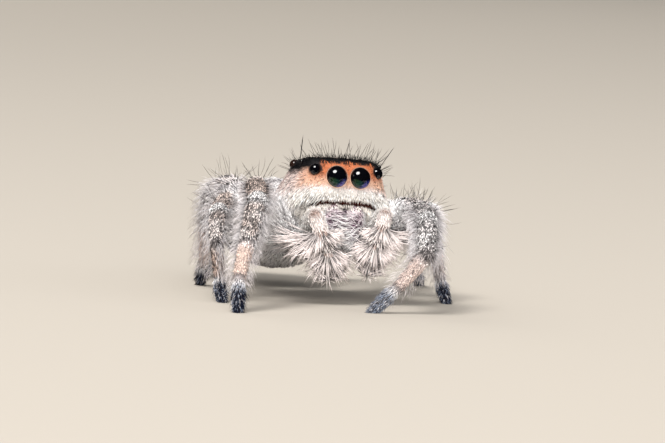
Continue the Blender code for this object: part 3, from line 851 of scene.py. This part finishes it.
def joinStrands(name, points, faces, hair, steps, material, rootShade):
    count, each = points.shape[:2]
    sizes = [len(face) for face in faces]
    pattern = np.array([corner for face in faces for corner in face])
    corners = (np.arange(count)[:, None] * each + pattern).ravel()
    starts = (np.arange(count)[:, None] * len(pattern) + np.cumsum([0] + sizes[:-1])).ravel()
    mesh = bpy.data.meshes.new(name)
    mesh.vertices.add(count * each)
    mesh.vertices.foreach_set("co", ((points + shift) * mm).astype(np.float32).ravel())
    mesh.loops.add(len(corners))
    mesh.loops.foreach_set("vertex_index", corners.astype(np.int32))
    mesh.polygons.add(len(starts))
    mesh.polygons.foreach_set("loop_start", starts.astype(np.int32))
    mesh.update(calc_edges=True)
    level = np.append(np.repeat(steps[:-1], 3), 1.0)
    # painted shade: each hair darkens towards its root by rootShade, as the coat shades it there
    shade = rootShade + (1 - rootShade) * ease(level, -0.1, 0.6)
    setTone(mesh, (hair["tone"][:, None, :] * shade[None, :, None]).reshape(-1, 3))
    patch = np.stack((np.append(np.tile((0, 0.5, 1), len(steps) - 1), 0.5), level), axis=1) * 0.003
    flat = (hair["spot"][:, None, :] + patch[None])[:, pattern].reshape(-1, 2)
    mesh.uv_layers.new(name="OFBake").data.foreach_set("uv", flat.astype(np.float32).ravel())
    piece = settlePiece(name, mesh, material)
    print(name, "has", count, "hairs and", count * sum(size - 2 for size in sizes), "triangles")
    return piece


def peppered(root, tone, pepper, spread=0.12, grain=0.085):  # dark tufts of a few hairs
    cell = np.floor(root / grain).astype(np.int64)
    luck = np.modf(np.abs(np.sin(cell @ (127.1, 311.7, 74.7)) * 43758.5453))[0]
    chosen = 0.9 * luck + 0.1 * dice.random(len(tone)) < pepper
    tone = np.where(chosen[:, None], tints["pepper"], tone)
    return tone * (1 + dice.normal(size=(len(tone), 1)) * spread)


def shadedUnderFur(length, tone, share, dim=0.28):  # shorter hair between the pale hairs, the same colour dimmed: painted shade deep in the coat
    under = dice.random(len(length)) < share
    return np.where(under, length * 0.75, length), np.where(under[:, None], tone * dim, tone)


faceFur = {"count": 4600, "length": 0.22, "width": 0.036, "lift": 24, "corner": 0.35}
headFur = {"count": 15500, "length": 0.34, "width": 0.038, "lift": 28, "cheek": 0.45}


def faceLie(points):  # hair parts round the eyes and runs down and outward
    q = levelled(points)
    flow = np.zeros_like(q)
    for x, y, z, radius in eyes.values():
        for side in (-1, 1):
            away = q - (side * x, y, z)
            distance = np.maximum(np.linalg.norm(away, axis=1, keepdims=True), radius)
            flow += away * (radius ** 1.5 / distance ** 3)
    down = (1 - ease(q[:, 2], 2.2, 2.6))[:, None]
    flow = unit(flow) * (1 - down) + unit(columns(q[:, 0] * 0.45, 0.0, -1.0)) * down
    aside = ease(q[:, 1], 0.5, 1.2)[:, None]
    fall = 0.35 + 0.9 * (1 - ease(q[:, 2], 1.8, 3.0))
    sweepBack = columns(q[:, 0] * 0.1, 1.1 - 0.6 * fall, -fall * (1 - ease(q[:, 2], 3.4, 3.7)))
    return turned(flow * (1 - aside) + unit(sweepBack) * aside)


def clearOfEyes(points, spare=0.03):
    q = levelled(points)
    clear = np.ones(len(q), bool)
    for x, y, z, radius in eyes.values():
        for side in (-1, 1):
            clear &= np.linalg.norm(q - (side * x, y, z), axis=1) > radius + spare
    return clear


def keepOnly(hair, kept):
    return {key: values[kept] for key, values in hair.items()}


def growHead():
    def frontWeight(places):
        y, z = levelled(places).T[1:]
        return (1 - ease(y, 1.0, 1.3)) * ease(z, 1.9, 2.1) * (1 + ease(z, 3.4, 3.6)) + 1e-6

    def restWeight(places):
        y, z = levelled(places).T[1:]
        cheek = (1 - ease(z, 2.2, 2.9)) * (1 - ease(y, 2.6, 3.4))
        share = ease(y, 0.55, 1.0) * (0.25 + 0.75 * ease(z, 1.0, 1.5)) * (1 - 0.4 * ease(y, 3.5, 4.5))
        return share * (1 + cheek) + 1e-6

    root, normal = scatter("fore", faceFur["count"], frontWeight)
    x, y, z = levelled(root).T
    tone, pepper = foreMarks(root)
    band = ease(z, 3.48, 3.6)
    corner = ease(np.abs(x), 0.95, 1.4) * (1 - ease(z, 2.1, 2.6))
    length = faceFur["length"] * (1 + 0.5 * (1 - ease(z, 2.15, 2.5)) - 0.3 * band)
    length = (length + faceFur["corner"] * corner) * dice.uniform(0.65, 1.3, len(root))
    tone = peppered(root, tone, pepper, spread=0.24, grain=0.045)
    length, tone = shadedUnderFur(length, tone, 0.08 + 0.10 * corner + 0.16 * ease(z, 2.5, 2.8), 0.4)
    lift = faceFur["lift"] + 24 * band + 12 * corner
    hair = strand("fore", root, normal, faceLie(root), length, lift, faceFur["width"], tone, wander=0.2)
    growHair("faceCoat", keepOnly(hair, clearOfEyes(root)), clump=0.3, rootShade=0.25)

    root, normal = scatter("fore", headFur["count"], restWeight)
    y, z = levelled(root).T[1:]
    tone, pepper = foreMarks(root)
    band = ease(z, 3.44, 3.6) * (1 - ease(y, 2.5, 3.0))
    cheek = (1 - ease(z, 2.0, 2.9)) * (1 - ease(y, 2.6, 3.4))
    length = headFur["length"] * (1 - 0.5 * band) + headFur["cheek"] * cheek
    length = length * dice.uniform(0.7, 1.3, len(root))
    tone = peppered(root, tone, pepper, grain=0.07)
    length, tone = shadedUnderFur(length, tone, (0.10 + 0.14 * ease(y, 1.5, 2.8)) * (1 - band), 0.35)
    lift = headFur["lift"] + 20 * band + 12 * cheek
    width = headFur["width"] * (1 - 0.25 * band)
    hair = strand("fore", root, normal, faceLie(root), length, lift, width, tone, wander=0.15)
    growHair("headCoat", keepOnly(hair, clearOfEyes(root)), clump=0.2, rootShade=0.25)


growHead()

mouthFur = {  # a dark red-brown line of hair, partly its own colour and partly painted shade in the gap over the jaws, with pale hair over it and longer hair under it
    "dark": {"count": 820, "length": 0.19, "width": 0.044},
    "pale": {"count": 420, "length": 0.19, "width": 0.034},
    "beard": {"count": 1300, "length": 0.32, "cheek": 0.45, "width": 0.040},
}


def growMouth():
    def row(count, drop, depth):  # along the edge of the face and round to the cheeks
        t = dice.uniform(-1.0, 1.0, count)
        y = 0.30 + depth + 0.75 * np.abs(t) ** 3.5 + dice.normal(size=count) * 0.02
        z = 1.99 - drop - 0.22 * np.abs(t) ** 3 + dice.normal(size=count) * 0.02
        root = placed(columns(1.80 * t - 0.10 * t ** 3, y, z))
        return t, root, turned(unit(columns(1.4 * np.sign(t) * np.abs(t) ** 3, -1.0, 0.0)))

    def lieDown(t, forward, spread):
        return turned(columns(t * 0.35 + dice.normal(size=len(t)) * spread, -forward, -1.0))

    dark, pale, beard = mouthFur["dark"], mouthFur["pale"], mouthFur["beard"]
    # the dark line: red-brown hair that also stands for the shade under the face's edge
    t, root, normal = row(dark["count"], 0.0, 0.0)
    length = dark["length"] * (1 - 0.4 * ease(np.abs(t), 0.6, 1.0)) * dice.uniform(0.6, 1.3, len(t))
    lie = lieDown(t, 0.3, 0.4)
    tone = evenTone("rust", len(t)) * dice.uniform(0.4, 1.5, (len(t), 1))
    sets = [strand("fore", root, normal, lie, length, 12, dark["width"], tone)]
    t, root, normal = row(pale["count"], -0.14, -0.08)
    lie = lieDown(t, 0.25, 0.35)
    length = pale["length"] * dice.uniform(0.4, 1.5, len(t))
    tone = evenTone("cream", len(t)) * dice.uniform(0.85, 1.0, (len(t), 1))
    sets.append(strand("fore", root, normal, lie, length, 14, pale["width"], tone))
    t, root, normal = row(beard["count"], 0.03, 0.13)
    length = beard["length"] + beard["cheek"] * ease(np.abs(t), 0.35, 0.7)
    length = length * dice.uniform(0.6, 1.3, len(t))
    tone = mixIn(evenTone("cream", len(t)), "pepper", 0.85 * (dice.random(len(t)) < 0.16))
    sets.append(strand("fore", root, normal, lieDown(t, 0.1, 0.3), length, 14, beard["width"], tone))
    growHair("mouthCoat", together(sets), rootShade=0.55)


growMouth()

hindFur = {"count": 12500, "length": 0.48, "width": 0.054, "lift": 36}


def growHind():
    root, normal = scatter("hind", hindFur["count"])
    tone, pepper = hindMarks(root)
    lie = np.tile((0.0, 1.0, -0.15), (len(root), 1))
    length = hindFur["length"] * dice.uniform(0.6, 1.3, len(root)) * (0.8 + 0.2 * ease(root[:, 1], 7.2, 8.0))
    tone = peppered(root, tone, pepper, grain=0.07)
    hair = strand("hind", root, normal, lie, length, hindFur["lift"], hindFur["width"], tone, wander=0.14,
                  bend=0.45)
    growHair("hindCoat", hair, clump=0.4, rootShade=0.2)


growHind()

legFur = {  # lengths and lift are given at these places along the limb, in segments from the hip
    "places": (0.0, 1.6, 2.0, 3.0, 4.9, 5.2, 6.0),
    "count": {1: 8000, 2: 7000, 3: 5200, 4: 5800}, "width": 0.036, "bend": 0.4,
    "coatLength": (0.42, 0.40, 0.20, 0.18, 0.18, 0.28, 0.26), "coatLift": (34, 34, 28, 28, 28, 30, 20),
    "fineCount": {1: 2000, 2: 1600, 3: 1000, 4: 1100}, "fineWidth": 0.024, "fineBend": 0.35, "fineLift": 64,
    "fineLength": (0.70, 0.80, 0.80, 0.95, 0.90, 0.60, 0.34),
}


def growLeg(name):  # a short close coat, with fine long hair standing out from the sides
    limb = limbs[name]
    number = int(name[-1])

    def coatWeight(places):
        return 1 + 0.8 * ease(alongLimb(places, limb)[1], 4.9, 5.3)

    def fineWeight(places):
        place, outward = alongLimb(places, limb)[1::2]
        flank = np.maximum(np.abs(outward @ limb["hinge"]), -outward[:, 2] * (1 - ease(place, 1.8, 2.2)))
        share = (1 - 0.5 * ease(place, 4.8, 5.2)) * (0.02 + ease(flank, 0.55, 0.95))
        return share * (0.9 + 0.6 * ease(place, 1.3, 2.0))

    root, normal = scatter(name, legFur["count"][number], coatWeight)
    place, axis, outward = alongLimb(root, limb)[1:]
    tone, pepper = marksAt(name, root)
    length = np.interp(place, legFur["places"], legFur["coatLength"]) * dice.uniform(0.6, 1.3, len(root))
    length = length * (1.0 if number < 3 else 1.25)
    lift = np.interp(place, legFur["places"], legFur["coatLift"])
    foot = ease(place, 5.0, 5.3)
    above = ease(backOfLimb(limb, axis, outward), -0.5, 0.2)
    upper = ease(place, 1.7, 2.0) * (1 - ease(place, 4.7, 5.0)) * above
    tone = peppered(root, tone, pepper)
    share = 0.20 * (1 - foot) * (1 - 0.6 * upper) * (0.3 + 0.7 * ease(place, 1.6, 2.0))
    length, tone = shadedUnderFur(length, tone, share)
    tone = mixIn(tone, "slate", foot * (dice.random(len(root)) < (0.5 if name == "leg_l1" else 0.22)) * 0.8)
    tone = mixIn(tone, "ash", foot * (dice.random(len(root)) < 0.10) * 0.8)
    width = legFur["width"] * (1 + 0.6 * upper)
    coat = strand(name, root, normal, axis, length, lift + 16 * foot, width, tone, legFur["bend"],
                  wander=0.2 + 0.15 * foot)
    root, normal = scatter(name, legFur["fineCount"][number], fineWeight)
    place, axis = alongLimb(root, limb)[1:3]
    tone = mixIn(marksAt(name, root)[0], "ash", 0.8 * (1 - ease(place, 4.8, 5.1)))
    tone = mixIn(tone, "dusk", 0.6 * dice.random(len(root)) ** 2)
    length = np.interp(place, legFur["places"], legFur["fineLength"]) * dice.uniform(0.4, 1.2, len(root))
    fine = strand(name, root, normal, axis + (0, 0, -0.4), length, legFur["fineLift"], legFur["fineWidth"],
                  tone, legFur["fineBend"], wander=0.14)
    growHair(name + "_coat", together((coat, fine)), clump=0.06, rootShade=0.22)


for key in pose:
    growLeg("leg_" + key)

palpFur = {  # a short coat, and a fan of long hair about each of the last two joints
    "short": 1500, "shortLength": 0.26, "shortWidth": 0.036,
    "fan": 1400, "fanWidth": 0.046, "droop": 0.18,
    "opening": ((52, 84), (50, 80)),  # half angles, inward and outward, of the upper fan and the lower
    "inner": 1.05, "outer": {"palp_r": 2.25, "palp_l": 1.60}, "round": 1.20,  # reach of the fans
    "under": 0.48, "behind": 0.20, "underShade": 0.19,  # shares of hair in the middle, dimmed by underShade as painted shade, and of white hair behind
}


def growPalp(name):
    limb = limbs[name]

    def shortWeight(places):
        return 1 - 0.3 * ease(alongLimb(places, limb)[1], 4.3, 4.8)

    def fanWeight(places):
        place, outward = alongLimb(places, limb)[1::2]
        rosette = 1 - 0.85 * ease(place - np.floor(place), 0.06, 0.60)
        return rosette * ease(place, 2.80, 2.95) * (0.3 + 0.7 * ease(outward @ back, -0.7, 0.2)) + 1e-6

    root, normal = scatter(name, palpFur["short"], shortWeight)
    place, axis = alongLimb(root, limb)[1:3]
    tone, pepper = marksAt(name, root)
    length = palpFur["shortLength"] + 0.25 * (1 - ease(place, 1.5, 2.0)) - 0.14 * ease(place, 4.5, 5.0)
    length = length * dice.uniform(0.6, 1.3, len(root))
    tone = peppered(root, tone, pepper, spread=0.08, grain=0.05)
    length, tone = shadedUnderFur(length, tone, 0.06 + 0.14 * ease(place, 3.0, 3.4), 0.4)
    short = strand(name, root, normal, axis, length, 28, palpFur["shortWidth"], tone, bend=0.4, wander=0.15)

    root, normal = scatter(name, palpFur["fan"], fanWeight)
    place, axis, outward = alongLimb(root, limb)[1:]
    lateral = unit(np.cross(axis, back))
    offset = dot(outward, lateral)[:, 0]
    outerSide = np.sign(offset) == np.sign(dot(lateral, right * limb["side"])[:, 0])
    joint = np.where(place < 3.8, 3, 4)  # each hair aims for a round outline about its joint
    opening = np.array(palpFur["opening"])[joint - 3, outerSide.astype(int)]
    angle = np.radians(opening + dice.normal(size=len(root)) * 13) * np.abs(offset) ** 0.8
    angle = angle * (1 - 0.2 * ease(place, 4.3, 4.8))
    wide = palpFur["inner"] + (palpFur["outer"][name] - palpFur["inner"]) * np.clip(np.sin(angle), 0, 1)
    reach = np.where(outerSide, wide, palpFur["inner"]) * (0.65 + 0.35 * np.abs(offset))
    reach = np.where(joint == 4, palpFur["round"], reach) * dice.uniform(0.80, 1.02, len(root))
    fanned = axis * np.cos(angle)[:, None] + lateral * (np.sign(offset) * np.sin(angle))[:, None]
    layer = dice.random(len(root))
    under = layer < palpFur["under"]
    behind = layer > 1 - palpFur["behind"]
    depth = np.where(under, dice.uniform(-0.45, 0.02, len(root)), dice.uniform(0.06, 0.32, len(root)))
    depth = np.where(behind, dice.uniform(-0.85, -0.45, len(root)), depth)[:, None]
    toward = limb["points"][joint] + (fanned + back * depth) * reach[:, None] - root
    lie = axis + (0, 0, -0.25)
    fall = unit(lie - normal * dot(lie, normal)) * palpFur["droop"]
    start = unit(toward) - fall  # sets off wide of its aim and droops on to it
    length = np.linalg.norm(toward, axis=1) * np.linalg.norm(start, axis=1) / (1 - palpFur["droop"])
    length = np.clip(length, 0.20, np.linalg.norm(toward, axis=1) * 1.2 + 0.05)
    length = length * (1 - 0.30 * ease(place, 4.1, 4.8)) * np.where(under, 0.9, 1.0)
    aim = unit(unit(start) + dice.normal(size=root.shape) * 0.04)
    lift = np.degrees(np.arcsin(np.clip(dot(aim, normal)[:, 0], 0.12, 0.98)))
    tone = (0.5 * tints["white"] + 0.5 * tints["blush"]) * dice.uniform(0.85, 1.0, (len(root), 1))
    # painted shade: the middle layer of the fan is a dimmed copy of its white
    tone = tone * np.where(under, palpFur["underShade"], 1.0)[:, None]
    fan = strand(name, root, normal, aim, length, lift, palpFur["fanWidth"], tone, palpFur["droop"],
                 wander=0.03)
    growHair(name + "_coat", together((short, fan)), rings=4, clump=0.04, clumpShare=0.3,
             rootShade=0.18)


for letter in "lr":
    growPalp("palp_" + letter)

jawFur = {  # hair that sweeps across the jaws, short hair above it and longer hair below and outside
    "count": 480, "length": 0.52, "longShare": 0.16, "width": 0.036,
    "low": 150, "outer": 300, "sideLength": 0.50,
    "short": 420, "shortLength": 0.26, "shortWidth": 0.036,
}


def growJaws():
    heights = [-ring[0] for ring in jaws["rings"]]

    def roots(count, low, high, side, first=-2.7, last=-0.4):
        z = dice.uniform(low, high, count)
        turn = dice.uniform(first, last, count)
        x, y, half, deep = (np.interp(-z, heights, [ring[k] for ring in jaws["rings"]]) for k in (1, 2, 3, 4))
        root = placed(columns(side * (x + np.cos(turn) * half), y + np.sin(turn) * deep, z))
        return z, root, turned(columns(side * np.cos(turn), np.sin(turn), 0.0))

    sets = []
    for side in (-1, 1):
        z, root, normal = roots(jawFur["count"], 0.25, 1.45, side)
        slant = 0.30 * (z - 1.0) - 0.15 + 0.32 * dice.normal(size=len(z))
        lie = turned(columns(-side, -0.1, slant))
        isLong = dice.random(len(z)) < jawFur["longShare"]
        tone = mixIn(evenTone("white", len(z)), "lilac", (0.1 + 0.4 * ease(z, 0.6, 1.0)) * ~isLong)
        tone = mixIn(tone, "plum", 0.9 * (dice.random(len(z)) < 0.45) * ~isLong)
        length = jawFur["length"] * dice.uniform(0.6, 1.3, len(z)) * np.where(isLong, 1.9, 1.0)
        tone = tone * dice.uniform(0.8, 1.0, (len(z), 1))
        sets.append(strand("fore", root, normal, lie, length, 32, jawFur["width"], tone, bend=0.7))
        z, root, normal = roots(jawFur["low"], 0.17, 0.50, side)
        lie = turned(columns(-side * dice.random(len(z)), -0.2, -1.0))
        length = jawFur["sideLength"] * dice.uniform(0.6, 1.2, len(z))
        sets.append(strand("fore", root, normal, lie, length, 20, jawFur["width"], evenTone("white", len(z))))
        z, root, normal = roots(jawFur["short"], 1.3, 1.94, side)
        lie = turned(columns(-side * dice.random(len(z)) * 0.6, -0.7, -1.0))
        tone = mixIn(evenTone("cream", len(z)), "pepper", 0.8 * (dice.random(len(z)) < 0.2))
        tone = mixIn(tone, "lilac", 0.6 * (1 - ease(z, 1.5, 1.8)))
        length = jawFur["shortLength"] * dice.uniform(0.6, 1.3, len(z))
        sets.append(strand("fore", root, normal, lie, length, 34, jawFur["shortWidth"], tone, wander=0.2))
        z, root, normal = roots(jawFur["outer"], 0.7, 1.9, side, -1.0, 0.3)
        lie = turned(columns(side * (0.6 + dice.random(len(z))), -0.4, -1.0))
        tone = evenTone("white", len(z)) * dice.uniform(0.5, 1.0, (len(z), 1))
        length = jawFur["sideLength"] * dice.uniform(0.6, 1.2, len(z))
        sets.append(strand("fore", root, normal, lie, length, 34, jawFur["width"], tone, wander=0.15))
    growHair("jawCoat", together(sets), rings=3, rootShade=0.3)


growJaws()

bristles = {
    "headCount": 46, "headLength": 0.85, "headWidth": 0.026, "edgeCount": 260, "edgeLength": 0.24,
    "sideCount": 16, "sideLength": 0.80,
    "legCount": {1: 46, 2: 34, 3: 20, 4: 24}, "legLength": 0.80, "legWidth": 0.024,
    "thickRoots": ((-1.62, 1.70, 3.76), (1.68, 0.95, 3.66)), "thickLength": 1.02, "thickWidth": 0.066,
    "thickLies": ((0.05, -0.1, 1.0), (0.62, -0.2, 1.0)),
}


def growBristles():
    sets = []

    def addSet(part, root, lie, length, width, curve=28):
        normal = unit(np.cross(np.cross(lie, dice.normal(size=lie.shape)), lie))
        lift = curve * dice.uniform(0.2, 1.2, len(root))
        tone = evenTone("soot", len(root))
        sets.append(strand(part, root, normal, lie, length, lift, width, tone, 1.0, wander=0.05, sink=0.05))

    def capHeight(x):
        return 3.76 - 0.12 * np.abs(x / 1.7) ** 3

    count = bristles["headCount"]  # along the front edge of the dark cap and down past the side eyes
    t = np.clip(np.linspace(-1, 1, count) + dice.normal(size=count) * 0.03, -1, 1)
    x = 1.72 * np.sign(t) * np.abs(t) ** 0.9
    y = 0.50 + 0.25 * dice.random(count) + 1.5 * ease(np.abs(t), 0.75, 1.0) * dice.random(count)
    z = capHeight(x) - 0.25 * ease(np.abs(t), 0.93, 1.0) * dice.random(count)
    lie = columns(x * 0.45 + dice.normal(size=count) * 0.22, -0.35 + 0.3 * dice.random(count), 1.0)
    length = bristles["headLength"] * dice.uniform(0.5, 1.15, count)
    addSet("fore", placed(columns(x, y, z)), turned(unit(lie)), length, bristles["headWidth"])
    count = bristles["edgeCount"]  # a low fringe on the cap's front edge
    x = dice.uniform(-1.7, 1.7, count)
    root = placed(columns(x, 0.42 + 0.5 * dice.random(count) + 0.25 * np.abs(x) ** 2, capHeight(x)))
    lie = columns(x * 0.4 + dice.normal(size=count) * 0.3, dice.normal(size=count) * 0.4 - 0.2, 1.0)
    length = bristles["edgeLength"] * dice.uniform(0.5, 1.3, count)
    addSet("fore", root, turned(unit(lie)), length, bristles["headWidth"])
    count = bristles["sideCount"]
    for side in (-1, 1):  # fanning out behind the side eyes
        rise = dice.random(count)
        root = placed(columns(side * 1.74, 0.85 + 1.6 * dice.random(count), 3.20 + 0.35 * rise))
        lie = columns(side, dice.normal(size=count) * 0.3, 0.1 + 0.9 * rise)
        length = bristles["sideLength"] * dice.uniform(0.5, 1.2, count)
        addSet("fore", root, turned(unit(lie)), length, bristles["headWidth"])
    root, lie = placed(bristles["thickRoots"]), turned(unit(bristles["thickLies"]))
    addSet("fore", root, lie, bristles["thickLength"], bristles["thickWidth"], curve=6)
    for name in (n for n in limbs if n.startswith("leg")):
        limb, count = limbs[name], bristles["legCount"][int(name[-1])]

        def weight(places):  # mostly on the knee, upward
            place, outward = alongLimb(places, limb)[1::2]
            knee = ease(place, 1.5, 1.9) * (1 - 0.8 * ease(place, 2.6, 3.0)) * (1 - ease(place, 4.2, 4.8))
            return knee * (0.06 + ease(outward[:, 2], 0.0, 0.7)) + 1e-6

        root, normal = scatter(name, count, weight)
        lie = unit(normal + alongLimb(root, limb)[2] * 0.35 + dice.normal(size=(count, 3)) * 0.15)
        length = bristles["legLength"] * dice.uniform(0.35, 1.5, count)
        addSet(name, root, lie, length, bristles["legWidth"])
    growHair("bristles", together(sets), bristleFinish, rings=4, rootShade=1.0)


growBristles()


def eyeTone(direction, name):  # deep black, with cool colours painted low in the big front eyes as reflections
    tone = np.tile(paint(34, 20, 15) if name == "ple" else paint(4, 4, 6), (len(direction), 1))
    if name == "ame":
        reflectionSwirl = 0.7 + 0.3 * np.sin(direction @ (9.0, 3.0, 26.0))[:, None]
        # painted reflections: blue and violet low on one side, teal and green low on the other
        for aim, colour, low, high in (((0.50, -0.60, -0.62), paint(46, 52, 150), 0.78, 0.97),
                                       ((0.20, -0.62, -0.74), paint(84, 62, 150), 0.88, 0.98),
                                       ((-0.28, -0.80, -0.52), paint(28, 70, 66), 0.88, 0.98),
                                       ((-0.55, -0.72, -0.40), paint(40, 62, 34), 0.88, 0.97)):
            amount = ease(direction @ unit(aim), low, high)[:, None] * 0.42 * reflectionSwirl
            tone = tone * (1 - amount) + colour * amount
    return tone


def makeEyes():
    for name, (x, y, z, radius) in eyes.items():
        for side, letter in ((1, "l"), (-1, "r")):
            centre = placed((side * x, y, z))
            bm = bmesh.new()
            bmesh.ops.create_icosphere(bm, subdivisions=5 if name == "ame" else 4, radius=radius)
            bmesh.ops.translate(bm, verts=bm.verts, vec=Vector(centre))
            piece = finishPiece(f"lens_{name}_{letter}", bm, eyeFinish, [f"eye_{name}_{letter}"])
            setTone(piece.data, eyeTone(unit(readPoints(piece.data) / mm - centre - shift), name))


eyeRims = {"ame": {"thick": 0.013, "proud": 0.10}, "ale": {"thick": 0.009, "proud": 0.05}}


def makeRims():  # a thin lip of skin round each front eye, darker above than below
    bm = bmesh.new()
    for name, rim in eyeRims.items():
        reach = math.sqrt(eyes[name][3] ** 2 - rim["proud"] ** 2) + rim["thick"] * 0.7
        for side in (-1, 1):
            look, seat, across = eyeSeat(name, side)
            seat = seat + look * rim["proud"]
            ring = bmesh.ops.create_circle(bm, segments=8, radius=rim["thick"])["verts"]
            axes = Matrix([Vector(axis) for axis in (across, look, np.cross(across, look))]).transposed()
            bmesh.ops.transform(bm, verts=ring, matrix=axes.to_4x4())
            bmesh.ops.translate(bm, verts=ring, vec=Vector(seat + across * reach))
            bmesh.ops.spin(bm, geom=ring + edgesOf(ring), cent=Vector(seat), axis=Vector(look),
                           angle=2 * math.pi, steps=48, use_merge=True)
    piece = finishPiece("eyeRims", bm, rimFinish)
    level = levelled(readPoints(piece.data) / mm - shift)
    amount = (0.35 + 0.6 * ease(-level[:, 2], -3.2, -2.7)) * (np.abs(level[:, 0]) < 1.05)
    setTone(piece.data, mixIn(evenTone("soot", len(level)), "peach", amount) * 0.8)


lashes = {"count": {"ame": 150, "ale": 90}, "length": 0.13, "width": 0.026}


def growLashes():  # short hairs that lean over the edge of each front eye
    sets = []
    for name, count in lashes["count"].items():
        for side in (-1, 1):
            look, seat, across = eyeSeat(name, side)
            turn = dice.uniform(0, 2 * math.pi, count)[:, None]
            outward = across * np.cos(turn) + np.cross(across, look) * np.sin(turn)
            root = seat + outward * (eyes[name][3] + 0.03) + look * dice.uniform(-0.10, 0.04, (count, 1))
            tone, pepper = foreMarks(root)
            lie = look + outward * 0.25 + dice.normal(size=root.shape) * 0.25
            length = lashes["length"] * dice.uniform(0.6, 1.3, count)
            tone = peppered(root, tone, pepper + 0.12, grain=0.03)
            sets.append(strand("fore", root, outward, lie, length, 8, lashes["width"], tone))
    growHair("eyeLashes", together(sets), rootShade=0.6)


growLashes()
makeEyes()
makeRims()
print("eyes are set")


def makeJaws():
    turns = np.linspace(0, 2 * math.pi, jaws["sides"], endpoint=False)
    for side, letter in ((1, "l"), (-1, "r")):
        bm = bmesh.new()
        sweep(bm, [placed([(side * (x + math.cos(t) * half), y + math.sin(t) * deep, z) for t in turns])
                   for z, x, y, half, deep in jaws["rings"]])
        piece = finishPiece("jaw_" + letter, bm, jawFinish, ["chelicera_" + letter])
        level = levelled(readPoints(piece.data) / mm - shift)
        violet = 0.5 + 0.5 * np.sin(level[:, 2] * 5 + level[:, 0] * 3 * side)[:, None]
        setTone(piece.data, paint(128, 74, 104) * (1 - violet) + paint(88, 58, 96) * violet)
        bm = bmesh.new()
        chain = np.array([placed((side * ring[0], ring[1], ring[2])) for ring in jaws["fang"]])
        radii = [ring[3] for ring in jaws["fang"]]
        sweep(bm, [roundRing(*ring, 14) for ring in zip(chain, np.gradient(chain, axis=0), radii)])
        finishPiece("fang_" + letter + "_curved", bm, clawFinish, ["fang_" + letter])


makeJaws()
print("jaws are set")
